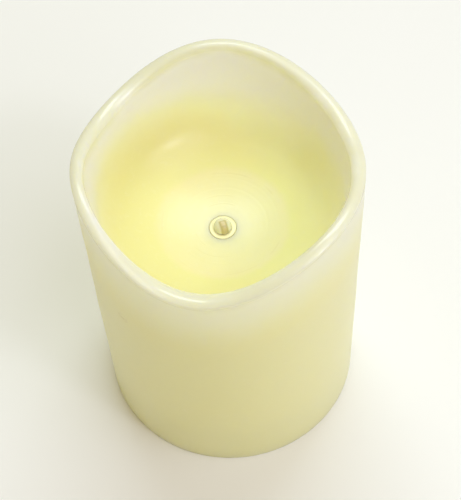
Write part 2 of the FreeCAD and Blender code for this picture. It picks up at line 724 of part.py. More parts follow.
def led_lens():
    body = post(LENS_R, FLANGE_FOOT, LENS_TOP - LENS_R)
    dome = Part.makeSphere(LENS_R, Vector(0, 0, LENS_TOP - LENS_R))
    lens = body.fuse(dome).fuse(post(FLANGE_R, FLANGE_FOOT, FLANGE_FOOT + FLANGE_T))
    lens = lens.cut(lamp_turned(box(-4, -LENS_R, -4, 4, 60, FLANGE_FOOT + FLANGE_T)))
    for inner in (led_cathode(), led_anode(), led_chip(), led_phosphor()):
        lens = lens.cut(inner)
    return lens


def led_board():
    board = post(LED_BOARD_R, LED_BOARD_TOP - LED_BOARD_T, LED_BOARD_TOP)
    for x in (-LED_POST_X, LED_POST_X):
        board = board.cut(post(LED_BOARD_HOLE_R, 55, 70, x))
    for x in (-LEAD_PITCH / 2, LEAD_PITCH / 2):
        board = board.cut(lamp_turned(post(LEAD_HOLE_R, 55, 70, x)))
    return board


def led_board_screws():
    seat = LED_BOARD_TOP - LED_BOARD_T
    return Part.makeCompound(
        [pan_screw(x, 0, seat, -1, 4.0, 1.6, 1.1, 0.73) for x in (-LED_POST_X, LED_POST_X)]
    )


# ---------------------------------------------------------------- wires
def wire(points):
    return tube_along([Vector(*p) for p in points], WIRE_D)


def wire_battery_red():
    """From the plus tab, over the tray roof, down to the control board."""
    x, y = BATTERY_PADS[0]
    return wire([(23.9, -10.8, 16.1), (18.6, -8.6, 16.3), (17.2, 1.5, 16.0), (17.8, 11.0, 16.6),
                 (15.2, 19.2, 17.4), (11.9, 24.6, 15.6), (x, y, WIRE_FOOT)])


def wire_battery_black():
    """From the minus tab, over the tray roof, down to the control board."""
    x, y = BATTERY_PADS[1]
    return wire([(-23.8, 10.8, 16.1), (-20.3, 13.2, 16.2), (-17.2, 18.2, 16.9), (-12.4, 23.8, 15.2),
                 (x, y, WIRE_FOOT)])


def wire_led(side, wander):
    """From the control board up the inside of the core to the LED board."""
    x, y = LAMP_PADS[0 if side > 0 else 1]
    return wire([(x, y, WIRE_FOOT), (side * 11.7, 19.4, 17.2), (side * (9.4 + wander), 15.6, 27.5),
                 (side * (9.9 - wander), 10.4, 38.5), (side * (6.8 + wander), 7.9, 48.0),
                 (side * 5.2, 5.2, 55.2), (side * 4.9, 4.6, LED_BOARD_TOP - LED_BOARD_T - SOLDER_H)])


# ---------------------------------------------------------------- all pieces
def pieces():
    """Every piece by its node name."""
    found = {
        "wax_pillar": wax_pillar(),
        "glue_beads": glue_beads(),
        "core_cup": core_cup(),
        "base_plate": base_plate(),
        "base_screws": base_screws(),
        "battery_door": battery_door(),
        "door_pad": door_pad(),
        "switch_can": switch_can(),
        "switch_base": switch_base(),
        "switch_pins": switch_pins(),
        "switch_knob": switch_knob(),
        "switch_wiper": switch_wiper(),
        "control_board": control_board(),
        "board_screws": board_screws(),
        "timer_chip": timer_chip(),
        "board_capacitor": board_capacitor(),
        "board_resistors": board_resistors(),
        "quartz_crystal": quartz_crystal(),
        "positive_tab": contact(1, -CELL_PITCH, -CELL_PITCH, nub_y=-CELL_PITCH, tail_y=-CELL_PITCH),
        "negative_tab": contact(-1, CELL_PITCH, CELL_PITCH, tail_y=CELL_PITCH),
        "series_link_right": contact(1, 0, CELL_PITCH, nub_y=CELL_PITCH),
        "series_link_left": contact(-1, -CELL_PITCH, 0, nub_y=0),
        "led_board": led_board(),
        "led_board_screws": led_board_screws(),
        "led_lens": led_lens(),
        "led_cathode": led_cathode(),
        "led_anode": led_anode(),
        "led_chip": led_chip(),
        "led_phosphor": led_phosphor(),
        "wire_battery_red": wire_battery_red(),
        "wire_battery_black": wire_battery_black(),
        "wire_led_red": wire_led(1, 0.8),
        "wire_led_black": wire_led(-1, -0.6),
    }
    # The cells lie side by side with their plus ends alternating, and each has a spring at its flat end.
    for number, (y, side) in enumerate([(-CELL_PITCH, 1), (0, -1), (CELL_PITCH, 1)], 1):
        found[f"battery_can_{number}"] = cell_can(y, side)
        found[f"battery_jacket_{number}"] = cell_jacket(y, side)
        found[f"contact_spring_{number}"] = contact_spring(y, -side)
    return found


def write_parts():
    os.makedirs("parts", exist_ok=True)
    for name, shape in pieces().items():
        good = shape.isValid() and all(s.Volume > 0 for s in shape.Solids)
        print(f"{name}: {len(shape.Solids)} solid(s), {shape.Volume:.1f} mm3, {'valid' if good else 'NOT VALID'}")
        shape.exportStep(f"parts/{name}.step")


write_parts()
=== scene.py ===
# %% [markdown]
# # A flameless candle in real wax
#
# The candle is a hollow pillar of ivory wax with a small clear lamp at the bottom of its recess. The CAD
# model holds every size, and this lesson gives it its looks. The pieces that only need a finish keep their
# CAD mesh and get a material. The pieces that a CAD model makes too stiff or too plain are made again here,
# in the same place: the wax itself, the lamp's lens, the glue, the foam, the springs and the screws.

import math

import bmesh
import bpy
from mathutils import Matrix, Vector


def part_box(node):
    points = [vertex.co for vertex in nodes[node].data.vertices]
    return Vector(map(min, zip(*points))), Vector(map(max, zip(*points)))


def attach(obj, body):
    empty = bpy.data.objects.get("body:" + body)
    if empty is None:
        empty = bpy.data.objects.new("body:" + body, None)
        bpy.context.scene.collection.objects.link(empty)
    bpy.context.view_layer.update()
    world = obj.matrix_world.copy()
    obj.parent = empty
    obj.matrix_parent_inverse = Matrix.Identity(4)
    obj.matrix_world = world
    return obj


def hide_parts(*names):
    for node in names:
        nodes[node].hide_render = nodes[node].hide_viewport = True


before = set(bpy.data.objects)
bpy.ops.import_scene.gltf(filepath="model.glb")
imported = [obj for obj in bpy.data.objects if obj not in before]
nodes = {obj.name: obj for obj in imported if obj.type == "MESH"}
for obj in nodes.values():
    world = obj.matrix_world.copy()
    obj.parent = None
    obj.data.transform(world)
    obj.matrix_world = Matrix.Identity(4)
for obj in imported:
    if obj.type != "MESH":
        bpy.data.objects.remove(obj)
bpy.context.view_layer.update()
MM = 0.001
wax_low, wax_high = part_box("wax_pillar")
print(f"{len(nodes)} CAD nodes; the wax is {wax_high.x - wax_low.x:.4f} m across and {wax_high.z:.4f} m high")

# %% [markdown]
# ## The camera
#
# The view looks down into the recess from the front, at about 62 degrees above the table, and is rolled a
# little, as a camera held in the hand is. A camera's matrix has its right, up and backward directions as
# columns, so it can be written straight from an eye point, an aim point and a roll.

# %% Camera
CAMERA_ELEVATION = math.radians(62.06)
CAMERA_DISTANCE = 0.4599
CAMERA_AIM = Vector((0.0017, 0, 0.0602))
CAMERA_ROLL = math.radians(3.91)
CAMERA_LENS = 102.8


def aimed(eye, aim, roll=0.0):
    """The matrix of something that stands at eye and looks at aim, turned clockwise by roll."""
    forward = (aim - eye).normalized()
    level = forward.cross(Vector((0, 0, 1))).normalized()
    upright = level.cross(forward)
    right = level * math.cos(roll) - upright * math.sin(roll)
    up = level * math.sin(roll) + upright * math.cos(roll)
    return Matrix.Translation(eye) @ Matrix((right, up, -forward)).transposed().to_4x4()


camera = bpy.data.objects.new("camera", bpy.data.cameras.new("camera"))
bpy.context.scene.collection.objects.link(camera)
eye = CAMERA_DISTANCE * Vector((0, -math.cos(CAMERA_ELEVATION), math.sin(CAMERA_ELEVATION)))
camera.matrix_world = aimed(eye, CAMERA_AIM, CAMERA_ROLL)
camera.data.lens = CAMERA_LENS
camera.data.clip_start = 0.01
bpy.context.scene.camera = camera
print(f"the camera stands {eye.length:.3f} m from the middle of the foot")

# %% [markdown]
# ## Short ways to write a node tree
#
# Every material and every Geometry Nodes tree below is a list of nodes and links. `add` makes a node, sets
# its options and fills its sockets: a value is set, and another node's socket is linked. That keeps each
# tree as short as the idea behind it.

# %% Node helpers


def add(tree, kind, inputs=None, **options):
    """A new node. inputs maps a socket's name or number to a value or to another node's output socket."""
    node = tree.nodes.new(kind)
    for name, value in options.items():
        setattr(node, name, value)
    for key, value in (inputs or {}).items():
        socket = node.inputs[key]
        if isinstance(value, bpy.types.NodeSocket):
            tree.links.new(value, socket)
        else:
            socket.default_value = value
    return node


def math_node(tree, operation, *values):
    """The result of one Math node."""
    return add(tree, "ShaderNodeMath", dict(enumerate(values)), operation=operation).outputs[0]


def product(tree, first, *others):
    """The values multiplied."""
    for other in others:
        first = math_node(tree, "MULTIPLY", first, other)
    return first


def total(tree, first, *others):
    """The values added up."""
    for other in others:
        first = math_node(tree, "ADD", first, other)
    return first


def between(tree, value, low, high, to_low=0.0, to_high=1.0):
    """value from low..high to to_low..to_high, eased and held at both ends."""
    inputs = {"Value": value, "From Min": low, "From Max": high, "To Min": to_low, "To Max": to_high}
    return add(tree, "ShaderNodeMapRange", inputs, interpolation_type="SMOOTHSTEP").outputs[0]


def mixed(tree, share, first, second):
    """Two colours mixed. This node has sockets for every kind of value, so they are taken by number."""
    node = add(tree, "ShaderNodeMix", data_type="RGBA")
    for key, value in ((0, share), (6, first), (7, second)):
        if isinstance(value, bpy.types.NodeSocket):
            tree.links.new(value, node.inputs[key])
        else:
            node.inputs[key].default_value = value
    return node.outputs[2]


def rgb(red, green, blue):
    """A colour as a screen shows it, 0 to 255, in the linear values that a shader takes."""
    def linear(c):
        c /= 255
        return c / 12.92 if c <= 0.04045 else ((c + 0.055) / 1.055) ** 2.4

    return (linear(red), linear(green), linear(blue), 1.0)


def new_material(name, **settings):
    """A material with one Principled shader, whose plain values are given by socket name."""
    material = bpy.data.materials.new(name)
    material.use_nodes = True
    tree = material.node_tree
    shader = tree.nodes["Principled BSDF"]
    for key, value in settings.items():
        shader.inputs[key.replace("_", " ")].default_value = value
    return material, tree, shader


def own_place(tree):
    """Object coordinates. A piece's object is at the origin, so they are also its place in the candle."""
    return add(tree, "ShaderNodeTexCoord").outputs["Object"]


def coloured(tree, shader, colour):
    """Gives the shader its colour from a node."""
    tree.links.new(colour, shader.inputs["Base Color"])


def noise(tree, scale, detail, vector=None):
    """Noise on Object coordinates, or on vector; scale is in features per metre."""
    place = vector or own_place(tree)
    return add(tree, "ShaderNodeTexNoise", {"Vector": place, "Scale": scale, "Detail": detail}).outputs["Fac"]


def bumped(tree, shader, height, distance, strength):
    """Adds a bump from height, in metres of distance, under any bump that the shader has."""
    bump = add(tree, "ShaderNodeBump", {"Height": height, "Distance": distance, "Strength": strength})
    if shader.inputs["Normal"].links:
        tree.links.new(shader.inputs["Normal"].links[0].from_socket, bump.inputs["Normal"])
    tree.links.new(bump.outputs["Normal"], shader.inputs["Normal"])


# %% [markdown]
# ## Short ways to end a piece
#
# Most pieces below are drawn point by point in a bmesh, or grown by a tree. All end the same way, as a plain
# mesh with its finish on an object at the origin, so that a point's place in the mesh is its place in the
# candle.

# %% Mesh helpers


def shown(name, mesh):
    """An object at the origin for a mesh."""
    piece = bpy.data.objects.new(name, mesh)
    bpy.context.scene.collection.objects.link(piece)
    return piece


def plain_mesh(source):
    """A new mesh from an object as its modifiers or its bevel make it."""
    return bpy.data.meshes.new_from_object(source.evaluated_get(bpy.context.evaluated_depsgraph_get()))


def finished(name, made, material):
    """Ends a bmesh as a piece: faces outwards, one material, smooth."""
    bmesh.ops.recalc_face_normals(made, faces=made.faces)
    mesh = bpy.data.meshes.new(name)
    made.to_mesh(mesh)
    made.free()
    mesh.materials.append(material)
    mesh.shade_smooth()
    print(f"{name}: {len(mesh.polygons)} faces")
    return shown(name, mesh)


# %% [markdown]
# ## The wax pillar's shape
#
# The real pillar is cast round a core, and its rim is melted into waves so that it looks burnt down. It is
# one shell: up the outside, over the rounded rim, down the inside wall, round a soft corner on to the
# dished floor, down the lamp's hole, and back along the inside of the wax to the foot.
#
# A lathe turns one outline into such a shell, but a plain lathe can't make the waves. So the outline
# carries two numbers at each point: how far the point follows the rim's waves up and down, and how much it
# leans outwards as it rises. A Geometry Nodes tree turns a grid into the lathe: the column of the grid
# gives the angle, the row picks the outline's point, and the wave's height at that angle is added. The
# waves are four cosines, so the rim closes on itself whatever the numbers are.

# %% The outline
FOOT_R = 38.0 * MM
TOP_R = 38.5 * MM
BLANK_H = 112.0 * MM
FOOT_BEVEL = 1.0 * MM
RIM_MEAN_H = 102.4 * MM
RIM_CREST_R = 36.6 * MM
RIM_WAVES = [(1, 2.75, 92.0), (2, 1.14, -22.7), (3, 3.92, 78.2), (4, 0.66, 15.8)]
RIM_INNER_R = 2.1 * MM
RIM_OUTER_R = 3.2 * MM
WALL_LEAN = 0.14
WALL_R_AT_RIM = 34.6 * MM
WALL_RIM_H = 100.0 * MM
FLOOR_H = 72.3 * MM
DISH_R = 58.0 * MM
CORNER_R = 14.0 * MM
FLOOR_GROOVES = [(15.6, 0.45, 0.016), (12.6, 0.35, 0.014)]  # radius, half width and depth, in mm
LAMP_HOLE_R = 3.75 * MM
HOLE_LIP = 0.35 * MM
RIM_CREASE = 1.85 * MM  # from the crest out to the crease
core_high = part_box("core_cup")[1]
CORE_GAP = 0.25 * MM
CORE_TOP = 68.0 * MM
CORE_TOP_R = 15.5 * MM
CORE_ROUND = 3.1 * MM
CONE_TOP_R = 15.75 * MM
CONE_FOOT = (29.25 * MM, 19.6 * MM)
SHOULDER_H = 16.6 * MM
# How the shell is divided: the distance between two points on a straight stretch, or the steps of an arc.
WALL_STEP = 1.1 * MM
INNER_STEP = 0.7 * MM
FOOT_STEP = 0.9 * MM
RIM_STEPS = 12
RIM_INNER_STEPS = 14
CORNER_STEPS = 34
FLOOR_STEPS = 170
SIDES = 240
# The outside wall starts to follow the rim's waves at this height, and follows them in full this much
# further up.
FOLLOW_FROM = 40 * MM
FOLLOW_OVER = 55 * MM


def arc_points(centre, radius, start, end, count):
    """Points (r, z) on an arc, by angle in degrees from the outward direction."""
    angles = [math.radians(start + (end - start) * i / count) for i in range(count + 1)]
    return [(centre[0] + radius * math.cos(a), centre[1] + radius * math.sin(a)) for a in angles]


def run(start, end, step):
    """Points from start to end, about a step apart, with the last one left out."""
    length = math.dist(start, end)
    count = max(1, round(length / step))
    return [(start[0] + (end[0] - start[0]) * i / count, start[1] + (end[1] - start[1]) * i / count)
            for i in range(count)]


def eased(x):
    x = min(1.0, max(0.0, x))
    return x * x * (3 - 2 * x)


def outer_r(z):
    return FOOT_R + (TOP_R - FOOT_R) * z / BLANK_H


def wax_outline():
    """Points (r, z, follow, lean) round the shell's section, at the rim's mean height."""
    points = []

    def put(pairs, follow=lambda z: 0.0):
        for r, z in pairs:
            points.append((r, z, follow(z), 0.0))

    # The foot: a flat ring of wax with a small round on its outer edge.
    inner_foot = core_high.x + CORE_GAP
    put(run((inner_foot, 0), (FOOT_R - FOOT_BEVEL, 0), FOOT_STEP))
    put(arc_points((FOOT_R - FOOT_BEVEL, FOOT_BEVEL), FOOT_BEVEL, -90, 0, 6)[:-1])
    # The outside wall, up to the crease under the rim.
    crease_drop = RIM_OUTER_R - math.sqrt(RIM_OUTER_R**2 - RIM_CREASE**2)
    crease_z = RIM_MEAN_H - crease_drop
    wall = run((FOOT_R, FOOT_BEVEL), (outer_r(crease_z), crease_z), WALL_STEP)
    put(wall, lambda z: eased((z - FOLLOW_FROM) / FOLLOW_OVER))
    # Over the rim: an outer arc from the crease to the crest, then a tighter round down the inside.
    tilt = math.degrees(math.asin(RIM_CREASE / RIM_OUTER_R))
    over = arc_points((RIM_CREST_R, RIM_MEAN_H - RIM_OUTER_R), RIM_OUTER_R, 90 - tilt, 90, RIM_STEPS)
    put(over, lambda z: 1.0)
    inside = arc_points((RIM_CREST_R, RIM_MEAN_H - RIM_INNER_R), RIM_INNER_R, 90, 180, RIM_INNER_STEPS)[1:]
    for i, (r, z) in enumerate(inside):
        points.append((r, z, 1.0, WALL_LEAN * eased((i + 1) / RIM_INNER_STEPS)))
    # The inside wall, down to where the soft corner starts.
    corner_x, corner_z = soft_corner()
    lean_angle = math.degrees(math.atan(WALL_LEAN))
    wall_foot = arc_points((corner_x, corner_z), CORNER_R, -lean_angle, -lean_angle, 1)[0]
    wall_top = inside[-1]
    span = wall_top[1] - wall_foot[1]
    for r, z in run(wall_top, wall_foot, INNER_STEP)[1:]:
        follow = eased((z - wall_foot[1]) / span)
        points.append((r, z, follow, WALL_LEAN * follow))
    # The corner and the dished floor.
    dish_centre = FLOOR_H + DISH_R
    meet = math.degrees(math.atan2(corner_z - dish_centre, corner_x))
    put(arc_points((corner_x, corner_z), CORNER_R, -lean_angle, meet, CORNER_STEPS))
    lip_r = LAMP_HOLE_R + HOLE_LIP
    lip_angle = -math.degrees(math.acos(lip_r / DISH_R))
    put(tool_marked(arc_points((0, dish_centre), DISH_R, meet, lip_angle, FLOOR_STEPS)[1:]))
    # The lamp's hole, and the inside of the wax, a glue gap away from the core.
    lip_z = points[-1][1]
    put(arc_points((lip_r, lip_z - HOLE_LIP), HOLE_LIP, 90, 180, 5)[1:])
    core_top = CORE_TOP + CORE_GAP
    put(run((LAMP_HOLE_R, lip_z - HOLE_LIP), (LAMP_HOLE_R, core_top), 0.5 * MM)[1:])
    put(run((LAMP_HOLE_R, core_top), (CORE_TOP_R, core_top), 2 * MM))
    put(arc_points((CONE_TOP_R, core_top - CORE_ROUND), CORE_ROUND, 90, 0, 7))
    put(run((CONE_TOP_R + CORE_ROUND, core_top - CORE_ROUND), CONE_FOOT, 4 * MM)[1:])
    put(run(CONE_FOOT, (inner_foot, SHOULDER_H), 2 * MM))
    put(run((inner_foot, SHOULDER_H), (inner_foot, 0), 3 * MM))
    return points


def soft_corner():
    """Centre (r, z) of the arc that is tangent to the dish and to the inside wall."""
    r = WALL_R_AT_RIM - CORNER_R
    for _ in range(60):
        z = FLOOR_H + DISH_R - math.sqrt((DISH_R - CORNER_R) ** 2 - r**2)
        r = WALL_R_AT_RIM - WALL_LEAN * (WALL_RIM_H - z) - CORNER_R * math.sqrt(1 + WALL_LEAN**2)
    return r, z


def tool_marked(points):
    """The floor's rings: a turned tool and the cooling wax leave shallow grooves round the lamp."""
    marked = []
    for r, z in points:
        mm = r / MM
        ripple = 0.003 * math.sin(mm * 2.1) + 0.002 * math.sin(mm * 3.7 + 1.0)
        step = -sum(deep * math.exp(-(((mm - at) / half) ** 2)) for at, half, deep in FLOOR_GROOVES)
        fade = eased((22.0 - mm) / 5.0) * eased((mm - 4.4) / 1.0)
        marked.append((r, z + (ripple + step) * fade * MM))
    return marked


outline = wax_outline()
print(f"the outline has {len(outline)} points")

# %% The lathe with a wavy rim


def group_with(name, sockets, geometry_in=True):
    """An empty Geometry Nodes tree. sockets maps each input's name to the kind of its value."""
    tree = bpy.data.node_groups.new(name, "GeometryNodeTree")
    tree.interface.new_socket("Geometry", in_out="OUTPUT", socket_type="NodeSocketGeometry")
    if geometry_in:
        tree.interface.new_socket("Geometry", in_out="INPUT", socket_type="NodeSocketGeometry")
    for label, kind in sockets.items():
        tree.interface.new_socket(label, in_out="INPUT", socket_type="NodeSocket" + kind)
    return tree


def grown(name, base_mesh, tree, values, smooth=True):
    """Runs a tree on a mesh and returns the result as a plain mesh object at the origin."""
    seed = shown(name, base_mesh)
    modifier = seed.modifiers.new("shape", "NODES")
    modifier.node_group = tree
    identifiers = {i.name: i.identifier for i in tree.interface.items_tree if i.in_out == "INPUT"}
    for label, value in values.items():
        modifier[identifiers[label]] = value
    bpy.context.view_layer.update()
    result = plain_mesh(seed)
    seed.modifiers.remove(modifier)
    seed.data = result
    result.name = name
    if smooth:
        result.shade_smooth()
    print(f"{name}: {len(result.polygons)} faces")
    return seed


def outline_mesh(name, points):
    """An outline as loose points in the XZ plane, with each point's follow and lean as attributes."""
    mesh = bpy.data.meshes.new(name)
    mesh.from_pydata([(p[0], 0, p[1]) for p in points], [], [])
    for label, column in (("follow", 2), ("lean", 3)):
        attribute = mesh.attributes.new(label, "FLOAT", "POINT")
        attribute.data.foreach_set("value", [p[column] for p in points])
    return mesh


def wavy_lathe_tree(waves):
    sockets = {"Sides": "Int", "Unevenness": "Float", "Material": "Material"}
    for number in range(1, len(waves) + 1):
        sockets |= {f"Wave {number} height": "Float", f"Wave {number} crest": "Float"}
    tree = group_with("wavy_lathe", sockets)
    given = add(tree, "NodeGroupInput").outputs
    rows = add(tree, "GeometryNodeAttributeDomainSize", {0: given["Geometry"]}).outputs["Point Count"]
    rows_closed = total(tree, rows, 1)
    columns = total(tree, given["Sides"], 1)
    grid = add(tree, "GeometryNodeMeshGrid", {"Vertices X": columns, "Vertices Y": rows_closed}).outputs["Mesh"]
    index = add(tree, "GeometryNodeInputIndex").outputs[0]
    column = math_node(tree, "FLOOR", math_node(tree, "DIVIDE", total(tree, index, 0.5), rows_closed))
    row = math_node(tree, "SUBTRACT", index, product(tree, column, rows_closed))
    wrapped = math_node(tree, "MODULO", total(tree, row, 0.25), rows)
    turn = math_node(tree, "DIVIDE", column, given["Sides"])
    angle = product(tree, turn, 2 * math.pi)

    def sampled(label, vector=False):
        kind = "FLOAT_VECTOR" if vector else "FLOAT"
        source = (add(tree, "GeometryNodeInputPosition").outputs[0] if vector else
                  add(tree, "GeometryNodeInputNamedAttribute", {"Name": label}, data_type="FLOAT").outputs[0])
        node = add(tree, "GeometryNodeSampleIndex", {"Geometry": given["Geometry"]}, data_type=kind)
        tree.links.new(source, node.inputs["Value"])
        tree.links.new(math_node(tree, "FLOOR", wrapped), node.inputs["Index"])
        return node.outputs[0]

    place = add(tree, "ShaderNodeSeparateXYZ", {0: sampled("position", vector=True)}).outputs
    wave = 0.0
    for number, (cycles, _, _) in enumerate(waves, 1):
        phase = math_node(tree, "SUBTRACT", angle, given[f"Wave {number} crest"])
        swing = math_node(tree, "COSINE", product(tree, phase, cycles))
        lift = product(tree, swing, given[f"Wave {number} height"])
        wave = total(tree, lift, wave)
    follow = sampled("follow")
    rise = product(tree, wave, follow)
    radius = total(tree, place["X"], product(tree, rise, sampled("lean")))
    height = total(tree, place["Z"], rise)

    def around(r):
        x = product(tree, r, math_node(tree, "COSINE", angle))
        y = product(tree, r, math_node(tree, "SINE", angle))
        return add(tree, "ShaderNodeCombineXYZ", {"X": x, "Y": y, "Z": height}).outputs[0]

    # Cast wax is never perfectly round: slow noise moves the wall in and out, in full above 40 mm and
    # beyond 30 mm from the axis.
    slow = add(tree, "ShaderNodeTexNoise", {"Vector": around(radius), "Scale": 28.0, "Detail": 1.0})
    fine = add(tree, "ShaderNodeTexNoise", {"Vector": around(radius), "Scale": 160.0, "Detail": 2.0})
    drift = math_node(tree, "SUBTRACT", slow.outputs[0], 0.5)
    waver = product(tree, math_node(tree, "SUBTRACT", fine.outputs[0], 0.5), 0.22)
    above_foot = between(tree, height, 4 * MM, 40 * MM)
    outside = between(tree, radius, 20 * MM, 30 * MM)
    sway = product(tree, total(tree, drift, waver), given["Unevenness"])
    sway = product(tree, sway, product(tree, above_foot, outside))
    final = around(total(tree, radius, sway))
    shaped = add(tree, "GeometryNodeSetPosition", {"Geometry": grid, "Position": final}).outputs[0]
    below = math_node(tree, "SUBTRACT", total(tree, wave, RIM_MEAN_H), height)
    note = {"Geometry": shaped, "Name": "below_rim", "Value": below}
    noted = add(tree, "GeometryNodeStoreNamedAttribute", note, data_type="FLOAT", domain="POINT").outputs[0]
    closed = add(tree, "GeometryNodeMergeByDistance", {"Geometry": noted, "Distance": 0.004 * MM}).outputs[0]
    real = add(tree, "GeometryNodeRealizeInstances", {"Geometry": closed}).outputs[0]
    painted = add(tree, "GeometryNodeSetMaterial", {"Geometry": real, "Material": given["Material"]}).outputs[0]
    add(tree, "NodeGroupOutput", {"Geometry": painted})
    return tree


# %% [markdown]
# ## The wax's finish
#
# Paraffin wax isn't a coloured surface: light goes in, scatters for several millimetres and comes out
# yellower, because blue is taken up first. Subsurface scattering gives that, and the colour paints more of
# it in, as painted light: the melted rim is thin and glows nearly white, so it is painted nearly white, and
# the deep inside of the recess, where light has gone through the most wax and shade falls, is painted the
# yellowest and a little darker. The shell's `below_rim` attribute tells the material how far under the
# rim each point is, so the painted colour follows the waves.
#
# The skin is satin: soft gloss with fine dimples outside, and a glossier, melted rim.

# %% Wax material
SCUFF_PLACE = (-28.6 * MM, -25.4 * MM, 71.1 * MM)


def inner_colour(tree, x, z, from_axis, cloudy):
    """The recess: nearly white high up and darker yellow low down, as painted light and shade, and paler over
    the core's flat top.
    """
    # Painted light: the inner wax is painted a little paler towards +X, and pale a little further down there,
    # to even out the shade that the lights leave on that side of the recess.
    side = between(tree, x, -28 * MM, 28 * MM)
    height = total(tree, z, product(tree, cloudy, 6 * MM), between(tree, side, 0, 1, -2 * MM, 3 * MM))
    low = mixed(tree, side, rgb(235, 229, 158), rgb(250, 246, 176))
    inner = mixed(tree, between(tree, height, 80 * MM, 100 * MM), low, rgb(254, 255, 246))
    # The core's top is close under the floor and shows through it as a disc with an uneven edge.
    core_disc = between(tree, total(tree, from_axis, product(tree, cloudy, 3 * MM)), 21.2 * MM, 18.4 * MM)
    # The disc over the core is painted paler towards +X too, against the same shade.
    return mixed(tree, core_disc, inner, mixed(tree, side, rgb(239, 230, 168), rgb(254, 245, 192)))


def wax_colour(tree, x, z, from_axis, below):
    """The whole shell's colour. below is how far under the rim a point is."""
    cloudy = noise(tree, 55.0, 4.0)
    inner = inner_colour(tree, x, z, from_axis, cloudy)
    depth = total(tree, below, product(tree, math_node(tree, "SUBTRACT", cloudy, 0.5), 8 * MM))
    # Painted light: the outside is painted nearly white near the rim, where the thin wax glows, and yellower
    # lower down.
    outer = mixed(tree, between(tree, depth, 3 * MM, 26 * MM), rgb(246, 247, 221), rgb(243, 240, 181))
    outside = math_node(tree, "MAXIMUM", between(tree, from_axis, 36.2 * MM, 37.4 * MM),
                        between(tree, z, 66 * MM, 60 * MM))
    base = mixed(tree, outside, inner, outer)
    # Painted shade: the top few millimetres of the rim are painted a greyer, darker ivory, to tone down the
    # light that the thin rim gathers.
    base = mixed(tree, between(tree, depth, -1 * MM, 4 * MM, 1, 0), base, rgb(232, 231, 205))
    speckled = between(tree, noise(tree, 700.0, 2.0), 0.55, 0.75, 0.0, 0.10)
    return mixed(tree, speckled, base, rgb(250, 246, 215))


def floor_rings(tree, from_axis):
    """Broken rings where the wax cooled round the lamp: noise along the radius, faded by other noise."""
    radius_only = add(tree, "ShaderNodeCombineXYZ", {"X": from_axis}).outputs[0]
    rings = between(tree, noise(tree, 1100.0, 2.0, radius_only), 0.56, 0.66)
    patches = between(tree, noise(tree, 130.0, 2.0), 0.50, 0.62)
    return product(tree, rings, patches, between(tree, from_axis, 19 * MM, 17 * MM),
                   between(tree, from_axis, 4.4 * MM, 6 * MM))


def scuffed(tree, place):
    """A small scuff on the outside, where the candle has been knocked."""
    knock = add(tree, "ShaderNodeVectorMath", {0: place, 1: SCUFF_PLACE}, operation="DISTANCE").outputs["Value"]
    patchy = between(tree, noise(tree, 1100.0, 3.0), 0.48, 0.60)
    return product(tree, between(tree, knock, 2.6 * MM, 0.8 * MM), patchy)


def wax_material():
    material, tree, shader = new_material("ivory_wax", Roughness=0.38, IOR=1.43, Subsurface_Weight=0.85,
                                          Subsurface_Scale=0.008, Coat_Weight=0.32, Coat_Roughness=0.22)
    shader.inputs["Subsurface Radius"].default_value = (0.90, 0.85, 0.55)
    place = own_place(tree)
    x, y, z = add(tree, "ShaderNodeSeparateXYZ", {0: place}).outputs
    from_axis = math_node(tree, "SQRT", total(tree, product(tree, x, x), product(tree, y, y)))
    below = add(tree, "ShaderNodeAttribute", attribute_name="below_rim").outputs["Fac"]
    rings = floor_rings(tree, from_axis)
    scuff = scuffed(tree, place)
    base = wax_colour(tree, x, z, from_axis, below)
    base = mixed(tree, product(tree, rings, 0.35), base, rgb(236, 226, 160))
    base = mixed(tree, product(tree, scuff, 0.5), base, rgb(222, 214, 150))
    coloured(tree, shader, base)
    tree.links.new(between(tree, below, 0, 5 * MM, 0.22, 0.40), shader.inputs["Roughness"])
    bumps = [(noise(tree, 900.0, 3.0), 0.025, 0.35), (noise(tree, 180.0, 2.0), 0.12, 0.30), (rings, 0.03, 0.5),
             (scuff, -0.12, 0.6)]
    for height, distance, strength in bumps:
        bumped(tree, shader, height, distance * MM, strength)
    return material


wax_finish = wax_material()
wave_values = {"Sides": SIDES, "Unevenness": 0.5 * MM, "Material": wax_finish}
for wave_number, (_, wave_h, wave_crest) in enumerate(RIM_WAVES, 1):
    wave_values[f"Wave {wave_number} height"] = wave_h * MM
    wave_values[f"Wave {wave_number} crest"] = math.radians(wave_crest)
wax = grown("wax_shell", outline_mesh("wax_outline", outline), wavy_lathe_tree(RIM_WAVES), wave_values)
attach(wax, "candle")
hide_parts("wax_pillar")

# %% [markdown]
# ## The lamp
#
# The lamp is an ordinary clear 5 mm LED: a rod of epoxy with a domed end and a small flange with one flat
# side. Two plated leads stand in it. One carries a tiny cup with the chip under a drop of yellow resin, and
# a gold wire as thin as a hair joins the chip to the other lead.
#
# The CAD lens has the leads cut out of it. A path tracer wants it the other way: one solid piece of epoxy
# with the metal standing inside, because two surfaces in the same place fight. So the lens is turned again
# here, smooth and whole, and the leads keep their CAD shape.
#
# A perfectly clear lens at the bottom of a recess shows the dark space below it, or the lights. This one is
# mostly milky, with the golden leads tinted in by their place. That is a stand-in, but it looks right from
# above.

# %% Turned solids


def circle(made, r, z, sides):
    """A circle of points about Z."""
    turns = [2 * math.pi * i / sides for i in range(sides)]
    return [made.verts.new((r * math.cos(a), r * math.sin(a), z)) for a in turns]


def turned_solid(name, outline, sides, material, shape=None):
    """A closed solid of revolution about Z. outline is (r, z) from the bottom to the top, both on the axis."""
    made = bmesh.new()
    bottom = made.verts.new((0, 0, outline[0][1]))
    top = made.verts.new((0, 0, outline[-1][1]))
    rings = [circle(made, r, z, sides) for r, z in outline[1:-1]]
    for i in range(sides):
        j = (i + 1) % sides
        made.faces.new((bottom, rings[0][j], rings[0][i]))
        made.faces.new((top, rings[-1][i], rings[-1][j]))
        for lower, upper in zip(rings, rings[1:]):
            made.faces.new((lower[i], lower[j], upper[j], upper[i]))
    if shape:
        for vert in made.verts:
            vert.co = shape(vert.co)
    return finished(name, made, material)


